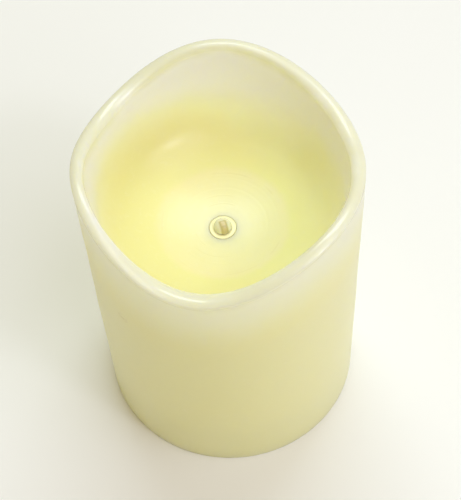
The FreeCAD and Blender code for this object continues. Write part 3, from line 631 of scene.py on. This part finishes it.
def turned_ring(name, section, sides, material):
    """A closed ring of revolution about Z. section is (r, z), going round it."""
    made = bmesh.new()
    rings = [circle(made, r, z, sides) for r, z in section]
    for ring, after in zip(rings, rings[1:] + rings[:1]):
        for i in range(sides):
            j = (i + 1) % sides
            made.faces.new((ring[i], ring[j], after[j], after[i]))
    return finished(name, made, material)


# %% Lens and bond wire
LENS_R = 2.5 * MM
LENS_TOP = 75.2 * MM
EDGE = 0.1 * MM
FLANGE_R = 2.9 * MM
FLANGE_FOOT = 66.6 * MM
FLANGE_H = 1.0 * MM
LAMP_TURN = math.radians(-75)
lamp_spin = Matrix.Rotation(LAMP_TURN, 3, "Z")


def clear_epoxy():
    """Milky epoxy. The leads show in it as a golden core, which is tinted into it, with a darker outline."""
    material, tree, shader = new_material("clear_epoxy", Roughness=0.10, IOR=1.50, Transmission_Weight=0.22,
                                          Subsurface_Weight=1.0, Subsurface_Scale=0.0015)
    shader.inputs["Subsurface Radius"].default_value = (1.0, 0.9, 0.6)
    place = own_place(tree)
    local = add(tree, "ShaderNodeMapping", {"Vector": place, "Rotation": (0, 0, -LAMP_TURN)}).outputs[0]
    along, across, _ = add(tree, "ShaderNodeSeparateXYZ", {0: local}).outputs
    across = math_node(tree, "ABSOLUTE", across)

    def core(back, front, half, soft):
        """1 in a soft box from back to front along the leads, and 0 outside it. Sizes are in mm."""
        back, front, half, soft = (size * MM for size in (back, front, half, soft))
        sides = between(tree, across, half + soft, half - soft)
        behind = between(tree, along, back - soft, back + soft)
        before = between(tree, along, front + soft, front - soft)
        return product(tree, sides, behind, before)

    haze = mixed(tree, noise(tree, 900.0, 2.0), rgb(255, 254, 222), rgb(255, 252, 210))
    outlined = mixed(tree, core(-0.5, 2.6, 1.05, 0.3), haze, rgb(214, 203, 146))
    middle = mixed(tree, core(-0.1, 1.1, 0.6, 0.25), outlined, rgb(238, 225, 176))
    tinted = mixed(tree, core(1.45, 2.3, 0.5, 0.2), middle, rgb(226, 214, 158))
    coloured(tree, shader, tinted)
    bumped(tree, shader, noise(tree, 500.0, 1.0), 0.01 * MM, 0.3)
    return material


def flat_sided(place):
    """Cuts the flange's flat and turns the lamp to its place."""
    if place.z < FLANGE_TOP + 0.01 * MM:
        place.x = max(place.x, -LENS_R)
    return lamp_spin @ place


def disc_outline(r, foot, top):
    """A disc with small bevels, from its middle below to its upper edge."""
    return [(0, foot), (r - EDGE, foot), (r, foot + EDGE), (r, top - EDGE), (r - EDGE, top)]


FLANGE_TOP = FLANGE_FOOT + FLANGE_H
lens_outline = disc_outline(FLANGE_R, FLANGE_FOOT, FLANGE_TOP)
lens_outline += [(LENS_R + EDGE / 2, FLANGE_TOP), (LENS_R, FLANGE_TOP + EDGE / 2)]
lens_outline += run((LENS_R, FLANGE_TOP + 0.5 * MM), (LENS_R, LENS_TOP - LENS_R), 0.5 * MM)
lens_outline += arc_points((0, LENS_TOP - LENS_R), LENS_R, 0, 90, 24)
lens_outline[-1] = (0, LENS_TOP)
lens = turned_solid("lamp_lens", lens_outline, 96, clear_epoxy(), flat_sided)
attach(lens, "candle")
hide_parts("led_lens")


def tube(name, points, radius, material, sides):
    """A round wire along a smooth curve through points."""
    curve = bpy.data.curves.new(name, "CURVE")
    curve.dimensions = "3D"
    curve.bevel_depth = radius
    curve.bevel_resolution = sides // 4
    curve.use_fill_caps = True
    spline = curve.splines.new("NURBS")
    spline.points.add(len(points) - 1)
    for point, place in zip(spline.points, points):
        point.co = (*place, 1)
    spline.order_u = 3
    spline.use_endpoint_u = True
    holder = shown(name, curve)
    mesh = plain_mesh(holder)
    bpy.data.objects.remove(holder)
    mesh.name = name
    mesh.materials.clear()
    mesh.materials.append(material)
    mesh.shade_smooth()
    return shown(name, mesh)


def plated(name, colour, roughness, tarnish):
    """Plated metal: a clean skin with fine rolling marks and a breath of tarnish."""
    material, tree, shader = new_material(name, Metallic=1.0)
    patches = between(tree, noise(tree, 350.0, 4.0), 0.45, 0.72)
    coloured(tree, shader, mixed(tree, patches, colour, tarnish))
    tree.links.new(between(tree, noise(tree, 1500.0, 2.0), 0.3, 0.7, roughness - 0.08, roughness + 0.08),
                   shader.inputs["Roughness"])
    bumped(tree, shader, noise(tree, 2500.0, 2.0), 0.004 * MM, 0.4)
    return material


silver_frame = plated("lamp_leadframe", rgb(238, 226, 178), 0.42, rgb(216, 194, 134))
gold = plated("gold_wire", rgb(240, 200, 110), 0.2, rgb(225, 180, 90))
bond_points = [(-0.25, 0, 70.70), (-0.24, 0, 71.25), (0.2, 0, 71.65), (0.8, 0, 71.3), (1.12, 0, 70.52)]
bond = tube("bond_wire", [lamp_spin @ (Vector(p) * MM) for p in bond_points], 0.03 * MM, gold, 8)
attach(bond, "candle")

# %% [markdown]
# ## Finishes for the pieces that keep their CAD shape
#
# Moulded plastic has a fine even grain and small changes of tone. Plated steel has a little tarnish. A
# circuit board is a green lacquer over copper, with the tracks just showing. Each finish is one function,
# and `paint` puts it on every CAD node that has it.

# %% Plain finishes


def moulded(name, colour, shade, roughness=0.45, grain=0.015 * MM, through=0.0):
    """Moulded plastic: a fine spark-eroded grain, slow flow marks, and some light let through."""
    material, tree, shader = new_material(name, Roughness=roughness, IOR=1.49, Subsurface_Weight=through,
                                          Subsurface_Scale=0.003)
    shader.inputs["Subsurface Radius"].default_value = (1.0, 0.8, 0.5)
    flow = noise(tree, 60.0, 3.0)
    coloured(tree, shader, mixed(tree, between(tree, flow, 0.3, 0.7), colour, shade))
    tree.links.new(between(tree, noise(tree, 300.0, 2.0), 0.3, 0.7, roughness - 0.05, roughness + 0.07),
                   shader.inputs["Roughness"])
    bumped(tree, shader, noise(tree, 2600.0, 2.0), grain, 0.5)
    return material


def circuit_board(name):
    """Green lacquer with the copper tracks showing through as slightly raised, lighter lines."""
    material, tree, shader = new_material(name, Roughness=0.3, Coat_Weight=0.3, Coat_Roughness=0.15)
    place = own_place(tree)
    tracks = add(tree, "ShaderNodeTexBrick", {"Vector": place, "Scale": 260.0, "Mortar Size": 0.035,
                                              "Mortar Smooth": 0.2}).outputs["Fac"]
    base = mixed(tree, noise(tree, 200.0, 2.0), rgb(14, 92, 52), rgb(18, 104, 58))
    coloured(tree, shader, mixed(tree, tracks, base, rgb(40, 132, 76)))
    bumped(tree, shader, tracks, 0.03 * MM, 0.6)
    return material


BAND_WIDTH = 7.0 * MM
BAND_EDGE = 0.05 * MM


def film(name, colour, band, plus_x):
    """A cell's printed film: one plain colour with a plain band at the plus end."""
    material, tree, shader = new_material(name, Roughness=0.28, Coat_Weight=0.4, Coat_Roughness=0.1)
    x = add(tree, "ShaderNodeSeparateXYZ", {0: own_place(tree)}).outputs["X"]
    inward = plus_x - math.copysign(BAND_WIDTH, plus_x)
    share = between(tree, x, inward - math.copysign(BAND_EDGE, plus_x), inward)
    worn = mixed(tree, between(tree, noise(tree, 400.0, 3.0), 0.6, 0.8, 0, 0.4), colour, rgb(120, 124, 130))
    coloured(tree, shader, mixed(tree, share, worn, band))
    bumped(tree, shader, noise(tree, 700.0, 2.0), 0.02 * MM, 0.3)
    return material


def vinyl(name, colour, dull):
    """Wire insulation: soft vinyl with faint drawing marks."""
    material, tree, shader = new_material(name, Roughness=0.35, IOR=1.52)
    coloured(tree, shader, mixed(tree, noise(tree, 500.0, 3.0), colour, dull))
    bumped(tree, shader, noise(tree, 1800.0, 2.0), 0.01 * MM, 0.4)
    return material


def resin(name):
    """The yellow drop over the chip."""
    material, tree, shader = new_material(name, Roughness=0.25, Subsurface_Weight=0.3, Subsurface_Scale=0.0004)
    coloured(tree, shader, mixed(tree, noise(tree, 4000.0, 2.0), rgb(240, 212, 128), rgb(228, 192, 104)))
    return material


def paint(material, *names):
    """Gives CAD nodes their finish."""
    for name in names:
        slots = nodes[name].data.materials
        slots.clear()
        slots.append(material)


core_white = moulded("white_core", rgb(254, 245, 184), rgb(253, 241, 172), 0.6, through=1.0)
shell_plastic = moulded("base_plastic", rgb(238, 234, 215), rgb(232, 227, 204), 0.5, 0.02 * MM, 0.25)
black_plastic = moulded("switch_black", rgb(38, 38, 40), rgb(30, 30, 32), 0.42)
chip_plastic = moulded("chip_black", rgb(30, 30, 32), rgb(40, 40, 42), 0.6)
sleeve_plastic = moulded("capacitor_sleeve", rgb(40, 46, 96), rgb(34, 38, 84), 0.3)
screw_zinc = plated("screw_zinc", rgb(206, 208, 210), 0.30, rgb(176, 172, 160))
contact_nickel = plated("contact_nickel", rgb(222, 219, 208), 0.22, rgb(190, 182, 164))
can_steel = plated("cell_steel", rgb(214, 213, 208), 0.26, rgb(186, 180, 168))
bronze = plated("wiper_bronze", rgb(206, 158, 104), 0.3, rgb(160, 112, 70))

paint(core_white, "core_cup")
paint(shell_plastic, "base_plate", "battery_door")
paint(black_plastic, "switch_base", "switch_knob")
paint(chip_plastic, "timer_chip", "board_resistors")
paint(sleeve_plastic, "board_capacitor")
paint(screw_zinc, "quartz_crystal")
paint(contact_nickel, "positive_tab", "negative_tab", "series_link_left", "series_link_right", "switch_pins")
paint(can_steel, "battery_can_1", "battery_can_2", "battery_can_3", "switch_can")
paint(bronze, "switch_wiper")
paint(silver_frame, "led_cathode", "led_anode")
paint(resin("lamp_resin"), "led_phosphor")
paint(plated("lamp_die", rgb(120, 130, 150), 0.2, rgb(90, 100, 130)), "led_chip")
paint(circuit_board("board_green"), "control_board", "led_board")
paint(vinyl("wire_red", rgb(176, 24, 20), rgb(150, 18, 16)), "wire_battery_red", "wire_led_red")
paint(vinyl("wire_black", rgb(34, 34, 36), rgb(26, 26, 28)), "wire_battery_black", "wire_led_black")
for number, side in ((1, 1), (2, -1), (3, 1)):
    jacket = f"battery_jacket_{number}"
    plus_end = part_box(jacket)[1 if side > 0 else 0].x
    paint(film(f"cell_jacket_{number}", rgb(52, 60, 74), rgb(196, 198, 200), plus_end), jacket)
print("every CAD node that stays has its finish")

# %% [markdown]
# ## What the lamp stands on and in
#
# A white spacer under the lamp closes the tower's bore. Round the lamp, wax ran over the tower's top and
# set there, a little lower than the floor. The spacer is a turned disc with bevelled edges, and the wax is
# a turned ring with a hollow face. The ring scatters no light inside it: it is so thin that the light would
# leak out and leave it grey.

# %% Spacer and wax ring
SPACER_TOP = FLANGE_FOOT - 0.03 * MM
SPACER_FOOT = SPACER_TOP - 0.6 * MM
spacer_outline = disc_outline(FLANGE_R, SPACER_FOOT, SPACER_TOP) + [(0, SPACER_TOP)]
spacer = turned_solid("lamp_spacer", spacer_outline, 64, core_white)
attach(spacer, "candle")

FILLET_FOOT = 72.03 * MM
FILLET_H = 72.62 * MM - FILLET_FOOT
fillet_profile = [(2.53, 0.0), (3.72, 0.0), (3.73, 0.6), (3.4, 0.45), (2.9, 0.45), (2.54, 0.75)]
fillet_section = [(r * MM, FILLET_FOOT + share * FILLET_H) for r, share in fillet_profile]
poured_wax = moulded("poured_wax", rgb(251, 246, 196), rgb(249, 243, 186), 0.4)
fillet = turned_ring("wax_fillet", fillet_section, 96, poured_wax)
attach(fillet, "candle")

# %% [markdown]
# ## Screws
#
# A screw is a turned blank with a rolled thread and a stamped cross. The thread is a lathe whose radius
# also depends on the angle, so the ridge climbs one pitch in each turn. The cross is cut with a Boolean.
# Drawing eight screws by hand would be a waste: a Geometry Nodes tree puts one screw on each point of a
# small mesh, and turns each to its own angle with a fixed seed, because real screws never stop at the same
# one.

# %% One screw
CROSS_TAPER = 0.55
AXIS_R = 0.2 * MM
TIP_R = 0.25 * MM


def threaded(name, outline, pitch, depth, thread_from, material):
    """A turned blank with a thread above thread_from. outline is (r, z), with the head at the bottom."""

    def ridge(place):
        r = math.hypot(place.x, place.y)
        if place.z < thread_from or r < AXIS_R:
            return place
        turns = place.z / pitch - math.atan2(place.y, place.x) / (2 * math.pi)
        share = 1 - abs(2 * (turns % 1) - 1)
        scale = (r - depth * (1 - share)) / r
        return Vector((place.x * scale, place.y * scale, place.z))

    return turned_solid(name, outline, 20, material, ridge)


def cut_cross(screw, face_z, length, width, depth):
    """Cuts a tapered cross slot into the head, from face_z upwards."""
    cutters = []
    for half_x, half_y in ((length / 2, width / 2), (width / 2, length / 2)):
        made = bmesh.new()
        bmesh.ops.create_cube(made, size=2.0)
        for vert in made.verts:
            taper = CROSS_TAPER if vert.co.z > 0 else 1.0
            along = (face_z - depth) if vert.co.z < 0 else (face_z + depth)
            vert.co = Vector((vert.co.x * half_x * taper, vert.co.y * half_y * taper, along))
        mesh = bpy.data.meshes.new("cross_cutter")
        made.to_mesh(mesh)
        made.free()
        cutters.append(shown("cross_cutter", mesh))
        cut = screw.modifiers.new("cross", "BOOLEAN")
        cut.operation, cut.solver, cut.object = "DIFFERENCE", "EXACT", cutters[-1]
    bpy.context.view_layer.update()
    mesh = plain_mesh(screw)
    screw.modifiers.clear()
    screw.data = mesh
    for cutter in cutters:
        bpy.data.objects.remove(cutter)


def screw_shape(name, head, shank_r, length, pitch, material):
    """head is its outline from the axis outwards; the shank goes up from the last point to a blunt tip."""
    shank_foot = head[-1][1]
    thread_foot = shank_foot + 0.3 * MM
    tip_foot = length - 1.5 * shank_r
    neck = [(shank_r, shank_foot + 0.15 * MM)]
    body = [(shank_r, z) for _, z in run((0, thread_foot), (0, tip_foot), pitch / 6)]
    tip = run((shank_r, tip_foot), (TIP_R, length), pitch / 5) + [(TIP_R, length), (0, length)]
    return threaded(name, head + neck + body + tip, pitch, 0.22 * shank_r, thread_foot, material)


# %% The tree that sets screws


def set_tree(name):
    """Puts a fitting on each point, turned by the point's turn attribute and a random angle about Z."""
    tree = group_with(name, {"Fitting": "Object", "Material": "Material", "Looseness": "Float", "Seed": "Int"})
    given = add(tree, "NodeGroupInput").outputs
    fitting = add(tree, "GeometryNodeObjectInfo", {"Object": given["Fitting"]}).outputs["Geometry"]
    turn = add(tree, "GeometryNodeInputNamedAttribute", {"Name": "turn"}, data_type="FLOAT_VECTOR").outputs[0]
    chance = add(tree, "FunctionNodeRandomValue", {"Seed": given["Seed"]}, data_type="FLOAT").outputs[1]
    spin = product(tree, chance, given["Looseness"])
    about_z = add(tree, "ShaderNodeCombineXYZ", {"Z": spin}).outputs[0]
    angle = add(tree, "ShaderNodeVectorMath", {0: turn, 1: about_z}, operation="ADD").outputs[0]
    set_on = add(tree, "GeometryNodeInstanceOnPoints", {"Points": given["Geometry"], "Instance": fitting,
                                                        "Rotation": angle}).outputs[0]
    real = add(tree, "GeometryNodeRealizeInstances", {"Geometry": set_on}).outputs[0]
    painted = add(tree, "GeometryNodeSetMaterial", {"Geometry": real, "Material": given["Material"]}).outputs[0]
    add(tree, "NodeGroupOutput", {"Geometry": painted})
    return tree


def points_mesh(name, places, turns):
    mesh = bpy.data.meshes.new(name)
    mesh.from_pydata([tuple(p) for p in places], [], [])
    attribute = mesh.attributes.new("turn", "FLOAT_VECTOR", "POINT")
    attribute.data.foreach_set("vector", [value for turn in turns for value in turn])
    return mesh


setting = set_tree("set_fittings")


def set_pieces(name, fitting, places, turns, material, looseness=0.0, seed=1):
    """One mesh with a copy of fitting on each place. The fitting itself is removed."""
    values = {"Fitting": fitting, "Material": material, "Looseness": looseness, "Seed": seed}
    made = grown(name, points_mesh(name + "_points", places, turns), setting, values, smooth=False)
    bpy.data.objects.remove(fitting)
    return made


# %% Three kinds of screw
UPRIGHT = (0, 0, 0)
UPSIDE_DOWN = (math.pi, 0, 0)
PLATE_UNDER = 1.2 * MM
BOARD_TOP = 8.5 * MM
LED_BOARD_SEAT = 61.4 * MM
BASE_SCREW_X, BASE_SCREW_Y = 19 * MM, 21.5 * MM
BOARD_SCREW_X, BOARD_SCREW_Y = 9.8 * MM, 23.5 * MM
LED_SCREW_X = 7.2 * MM
BASE_SHANK_R = 1.08 * MM
BOARD_SHANK_R = 0.78 * MM
LED_SHANK_R = 0.73 * MM
PAN_HEAD_H = 1.1 * MM
PAN_FACE = -1.05 * MM
countersunk_head = [(0, 0), (2.36 * MM, 0), (2.42 * MM, 0.06 * MM), (BASE_SHANK_R, 1.4 * MM)]


def pan_head(radius, shank_r):
    """A low round head. Its flat side is at 0 and it rises below that, towards the screwdriver."""
    round_r = 0.5 * PAN_HEAD_H
    dome = arc_points((radius - round_r, 0.45 * PAN_HEAD_H), round_r, 90, 0, 6)
    return [(0, -0.95 * PAN_HEAD_H)] + [(r, -z) for r, z in dome] + [(radius, 0), (shank_r, 0)]


base_screw = screw_shape("base_screw", countersunk_head, BASE_SHANK_R, 9.9 * MM, 0.95 * MM, screw_zinc)
cut_cross(base_screw, 0, 2.6 * MM, 0.6 * MM, 0.9 * MM)
base_places = [(x * BASE_SCREW_X, y * BASE_SCREW_Y, PLATE_UNDER + 0.05 * MM) for x in (-1, 1) for y in (-1, 1)]
board_head = pan_head(1.7 * MM, BOARD_SHANK_R)
board_screw = screw_shape("board_screw", board_head, BOARD_SHANK_R, 4.2 * MM, 0.7 * MM, screw_zinc)
cut_cross(board_screw, PAN_FACE, 2.0 * MM, 0.4 * MM, 0.6 * MM)
board_places = [(x * BOARD_SCREW_X, BOARD_SCREW_Y, BOARD_TOP) for x in (-1, 1)]
led_head = pan_head(1.6 * MM, LED_SHANK_R)
led_screw = screw_shape("led_screw", led_head, LED_SHANK_R, 4.0 * MM, 0.7 * MM, screw_zinc)
cut_cross(led_screw, PAN_FACE, 1.9 * MM, 0.4 * MM, 0.6 * MM)
led_places = [(x * LED_SCREW_X, 0, LED_BOARD_SEAT) for x in (-1, 1)]
screw_sets = [("plate_screws", base_screw, base_places, UPRIGHT, "base_screws"),
              ("control_board_screws", board_screw, board_places, UPSIDE_DOWN, "board_screws"),
              ("lamp_board_screws", led_screw, led_places, UPRIGHT, "led_board_screws")]
for seed, (name, screw, places, way, node) in enumerate(screw_sets, 3):
    screws = set_pieces(name, screw, places, [way] * len(places), screw_zinc, math.pi, seed)
    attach(screws, "candle")
    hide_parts(node)

# %% [markdown]
# ## Contact springs
#
# Each cell's flat end presses on a conical coil of plated wire. Geometry Nodes has a spiral curve for
# exactly this. A round profile swept along it gives the wire, and the tree above sets one coil behind each
# cell, facing the right way.

# %% Coils
SPRING_WIRE_R = 0.25 * MM
SPRING_FOOT_R = 3.4 * MM
SPRING_TIP_R = 2.1 * MM
SPRING_TURNS = 3.0
CELL_AXIS_H = 8.6 * MM


def coil_tree():
    sizes = ("Turns", "Foot radius", "Tip radius", "Height", "Wire radius")
    tree = group_with("coil", dict.fromkeys(sizes, "Float"), geometry_in=False)
    given = add(tree, "NodeGroupInput").outputs
    spiral = add(tree, "GeometryNodeCurveSpiral", {"Resolution": 40, "Rotations": given["Turns"],
                                                   "Start Radius": given["Foot radius"],
                                                   "End Radius": given["Tip radius"],
                                                   "Height": given["Height"]}).outputs[0]
    profile = add(tree, "GeometryNodeCurvePrimitiveCircle", {"Resolution": 12, "Radius": given["Wire radius"]})
    wire = add(tree, "GeometryNodeCurveToMesh", {"Curve": spiral, "Profile Curve": profile.outputs[0],
                                                 "Fill Caps": True}).outputs[0]
    add(tree, "NodeGroupOutput", {"Geometry": wire})
    return tree


spring_boxes = [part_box(f"contact_spring_{number}") for number in (1, 2, 3)]
coil_height = spring_boxes[0][1].x - spring_boxes[0][0].x - 2 * SPRING_WIRE_R
coil_values = {"Turns": SPRING_TURNS, "Foot radius": SPRING_FOOT_R, "Tip radius": SPRING_TIP_R,
               "Height": coil_height, "Wire radius": SPRING_WIRE_R}
coil = grown("coil", bpy.data.meshes.new("empty"), coil_tree(), coil_values)
spring_places, spring_turns = [], []
for low, high in spring_boxes:
    side = math.copysign(1, low.x)
    foot_x = (high.x if side > 0 else low.x) - side * SPRING_WIRE_R
    spring_places.append((foot_x, (low.y + high.y) / 2, CELL_AXIS_H))
    spring_turns.append((0, -side * math.pi / 2, 0))
springs = set_pieces("coil_springs", coil, spring_places, spring_turns, contact_nickel)
springs.data.shade_smooth()
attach(springs, "candle")
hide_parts("contact_spring_1", "contact_spring_2", "contact_spring_3")

# %% [markdown]
# ## Hot glue
#
# Four short beads of hot glue hold the base plate in the wax. A bead is thick in the middle, thin at its
# ends, and lumpy, because it was squeezed from a gun by hand. The tree sweeps a circle along an arc, sets
# the radius from the place along it, and then pushes the surface about with noise.

# %% Glue beads
GLUE_R = 32.87 * MM
GLUE_Z = 0.76 * MM
GLUE_THICK = 0.40 * MM
GLUE_LUMPS = 0.14 * MM
GLUE_SWEEP = math.radians(26)
GLUE_STARTS = (8, 97, 188, 276)  # degrees


def glue_tree():
    sizes = ("Radius", "Sweep", "Thickness", "Lumps")
    tree = group_with("glue_bead", dict.fromkeys(sizes, "Float"), geometry_in=False)
    given = add(tree, "NodeGroupInput").outputs
    arc = add(tree, "GeometryNodeCurveArc", {"Resolution": 60, "Radius": given["Radius"],
                                             "Sweep Angle": given["Sweep"]}).outputs[0]
    along = add(tree, "GeometryNodeSplineParameter").outputs["Factor"]
    hump = product(tree, along, math_node(tree, "SUBTRACT", 1, along), 4)
    plump = math_node(tree, "POWER", total(tree, hump, 0.01), 0.3)
    profile = add(tree, "GeometryNodeCurvePrimitiveCircle", {"Resolution": 20, "Radius": given["Thickness"]})
    swept = {"Curve": arc, "Profile Curve": profile.outputs[0], "Scale": plump, "Fill Caps": True}
    bead = add(tree, "GeometryNodeCurveToMesh", swept).outputs[0]
    lumpy = add(tree, "ShaderNodeTexNoise", {"Scale": 700.0, "Detail": 1.0}).outputs["Color"]
    shift = add(tree, "ShaderNodeVectorMath", {0: lumpy, 1: (0.5, 0.5, 0.5)}, operation="SUBTRACT").outputs[0]
    push = add(tree, "ShaderNodeVectorMath", {0: shift, "Scale": given["Lumps"]}, operation="SCALE").outputs[0]
    pushed = add(tree, "GeometryNodeSetPosition", {"Geometry": bead, "Offset": push}).outputs[0]
    add(tree, "NodeGroupOutput", {"Geometry": pushed})
    return tree


def hot_glue():
    material, tree, shader = new_material("clear_glue", Roughness=0.22, IOR=1.48, Transmission_Weight=0.35,
                                          Subsurface_Weight=0.9, Subsurface_Scale=0.002)
    coloured(tree, shader, mixed(tree, noise(tree, 500.0, 3.0), rgb(240, 236, 214), rgb(226, 218, 188)))
    bumped(tree, shader, noise(tree, 900.0, 2.0), 0.02 * MM, 0.4)
    return material


bead = grown("bead", bpy.data.meshes.new("empty"), glue_tree(),
             {"Radius": GLUE_R, "Sweep": GLUE_SWEEP, "Thickness": GLUE_THICK, "Lumps": GLUE_LUMPS})
bead_turns = [(0, 0, math.radians(a)) for a in GLUE_STARTS]
glue_beads = set_pieces("glue", bead, [(0, 0, GLUE_Z)] * len(GLUE_STARTS), bead_turns, hot_glue())
glue_beads.data.shade_smooth()
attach(glue_beads, "candle")
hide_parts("glue_beads")

# %% [markdown]
# ## Solder
#
# A solder joint is a small bright cone with hollow sides where wire, pin and board meet. It is one turned
# shape, set on every joint by the same tree.

# %% Solder joints
PAD_X = 11.6 * MM
PAD_YS = (20.4 * MM, 26.4 * MM)
LEAD_HALF_GAP = 1.27 * MM
solder = plated("solder", rgb(212, 214, 216), 0.24, rgb(180, 180, 178))
joint_outline = [(0, 0), (0.95 * MM, 0), (0.97 * MM, 0.03 * MM), (0.8 * MM, 0.12 * MM), (0.66 * MM, 0.3 * MM),
                 (0.58 * MM, 0.5 * MM), (0.4 * MM, 0.62 * MM), (0, 0.68 * MM)]
joint = turned_solid("solder_joint", joint_outline, 24, solder)
joint_places = [(x * PAD_X, y, BOARD_TOP) for x in (-1, 1) for y in PAD_YS]
joint_turns = [UPRIGHT] * len(joint_places)
for along in (-LEAD_HALF_GAP, LEAD_HALF_GAP):
    joint_places.append(lamp_spin @ Vector((along, 0, 0)) + Vector((0, 0, LED_BOARD_SEAT)))
    joint_turns.append(UPSIDE_DOWN)
joints = set_pieces("solder_joints", joint, joint_places, joint_turns, solder)
joints.data.shade_smooth()
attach(joints, "candle")

# %% [markdown]
# ## The foam pad
#
# A strip of closed-cell foam on the door's inner face keeps the cells from rattling. It is die-cut, so its
# edges are square but soft, and its face is slightly crowned between the cells' lines of pressure. It is a
# closed mesh: two grids, the door's side flat and the other side shaped, joined by their edges.

# %% Foam pad
pad_low, pad_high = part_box("door_pad")
PAD_COLUMNS, PAD_ROWS = 74, 60
PAD_ROUND = 0.5 * MM
CELL_LINES = (-10.8 * MM, 0.0, 10.8 * MM)  # where the cells press, along Y
PRESS_HALF_WIDTH = 1.6 * MM
PRESS_DEPTH = 0.16  # share of the pad's thickness
EDGE_HEIGHT = 0.55  # share of the pad's thickness
pad_wide, pad_long, pad_thick = pad_high - pad_low


def pad_height(u, v):
    """Share of the pad's full thickness at u, v from 0 to 1 across it."""
    edge = min(min(u, 1 - u) * pad_wide, min(v, 1 - v) * pad_long)
    rounded = math.sqrt(1 - (1 - min(1, edge / PAD_ROUND)) ** 2)
    y = pad_low.y + v * pad_long
    pressed = sum(math.exp(-(((y - line) / PRESS_HALF_WIDTH) ** 2)) for line in CELL_LINES)
    return (EDGE_HEIGHT + (1 - EDGE_HEIGHT) * rounded) * (1 - PRESS_DEPTH * pressed)


def foam_pad(foam):
    made = bmesh.new()

    def sheet(height):
        """A grid of points, whose height is a function of the column and the row."""
        return [[made.verts.new((pad_low.x + pad_wide * i / PAD_COLUMNS, pad_low.y + pad_long * j / PAD_ROWS,
                                 height(i, j)))
                 for j in range(PAD_ROWS + 1)] for i in range(PAD_COLUMNS + 1)]

    under = sheet(lambda i, j: pad_low.z)
    over = sheet(lambda i, j: pad_low.z + pad_thick * pad_height(i / PAD_COLUMNS, j / PAD_ROWS))
    for i in range(PAD_COLUMNS):
        for j in range(PAD_ROWS):
            made.faces.new((over[i][j], over[i + 1][j], over[i + 1][j + 1], over[i][j + 1]))
            made.faces.new((under[i][j], under[i][j + 1], under[i + 1][j + 1], under[i + 1][j]))
    ring = [(i, 0) for i in range(PAD_COLUMNS)] + [(PAD_COLUMNS, j) for j in range(PAD_ROWS)]
    ring += [(i, PAD_ROWS) for i in range(PAD_COLUMNS, 0, -1)] + [(0, j) for j in range(PAD_ROWS, 0, -1)]
    for (a, b), (c, d) in zip(ring, ring[1:] + ring[:1]):
        made.faces.new((under[a][b], under[c][d], over[c][d], over[a][b]))
    return finished("foam_pad", made, foam)


def foam_finish():
    """Closed-cell foam: each Voronoi cell is one bubble."""
    material, tree, shader = new_material("door_foam", Roughness=0.9, Sheen_Weight=0.15, Subsurface_Weight=0.2,
                                          Subsurface_Scale=0.001)
    cells = add(tree, "ShaderNodeTexVoronoi", {"Vector": own_place(tree), "Scale": 2600.0}).outputs["Distance"]
    # Painted shade: each bubble is painted darker in its middle, where its dimple is deepest.
    coloured(tree, shader, mixed(tree, between(tree, cells, 0.1, 0.6), rgb(196, 196, 190), rgb(226, 226, 220)))
    bumped(tree, shader, cells, 0.06 * MM, 0.7)
    return material


pad = foam_pad(foam_finish())
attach(pad, "door")
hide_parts("door_pad")

# %% [markdown]
# ## Table and light
#
# A plain pale table, one large soft light high on the right with a small bright one in it, and a second
# large one behind, with a pale room all round to fill the shadows. The small light is there for the
# highlight on the wax.

# %% Stage


def table_material():
    material, tree, shader = new_material("pale_table", Roughness=0.55)
    soft = noise(tree, 6.0, 2.0)
    coloured(tree, shader, mixed(tree, soft, rgb(245, 245, 245), rgb(250, 250, 251)))
    bumped(tree, shader, noise(tree, 400.0, 2.0), 0.05 * MM, 0.2)
    return material


TABLE_HALF = 3.0
LIGHT_AIM = Vector((0, 0, 0.06))
ROOM_COLOUR = (1.0, 0.84, 0.42, 1)
ROOM_STRENGTH = 0.40
table_mesh = bpy.data.meshes.new("table")
table_corners = [(x * TABLE_HALF, y * TABLE_HALF, 0) for x, y in ((-1, -1), (1, -1), (1, 1), (-1, 1))]
table_mesh.from_pydata(table_corners, [], [(0, 1, 2, 3)])
table = shown("table", table_mesh)
table.data.materials.append(table_material())


def area_light(name, azimuth, elevation, distance, width, height, power, colour):
    """A soft light that looks at the candle's middle. Azimuth goes from +X towards +Y, in degrees."""
    az, el = math.radians(azimuth), math.radians(elevation)
    way = Vector((math.cos(el) * math.cos(az), math.cos(el) * math.sin(az), math.sin(el)))
    light = bpy.data.lights.new(name, "AREA")
    light.shape = "RECTANGLE"
    light.size, light.size_y, light.energy, light.color = width, height, power, colour
    holder = bpy.data.objects.new(name, light)
    holder.matrix_world = aimed(LIGHT_AIM + distance * way, LIGHT_AIM)
    bpy.context.scene.collection.objects.link(holder)


area_light("key", -42, 57, 1.2, 0.90, 0.90, 6.2, (0.79, 0.81, 1.0))
area_light("key_core", -42, 50, 1.2, 0.16, 0.16, 1.4, (0.86, 0.88, 1.0))
area_light("back", 80, 62, 1.3, 0.9, 0.5, 8.2, (0.78, 0.91, 1.0))
world = bpy.data.worlds.new("room")
world.use_nodes = True
world.node_tree.nodes["Background"].inputs["Color"].default_value = ROOM_COLOUR
world.node_tree.nodes["Background"].inputs["Strength"].default_value = ROOM_STRENGTH
bpy.context.scene.world = world
bpy.context.scene.view_settings.view_transform = "Standard"
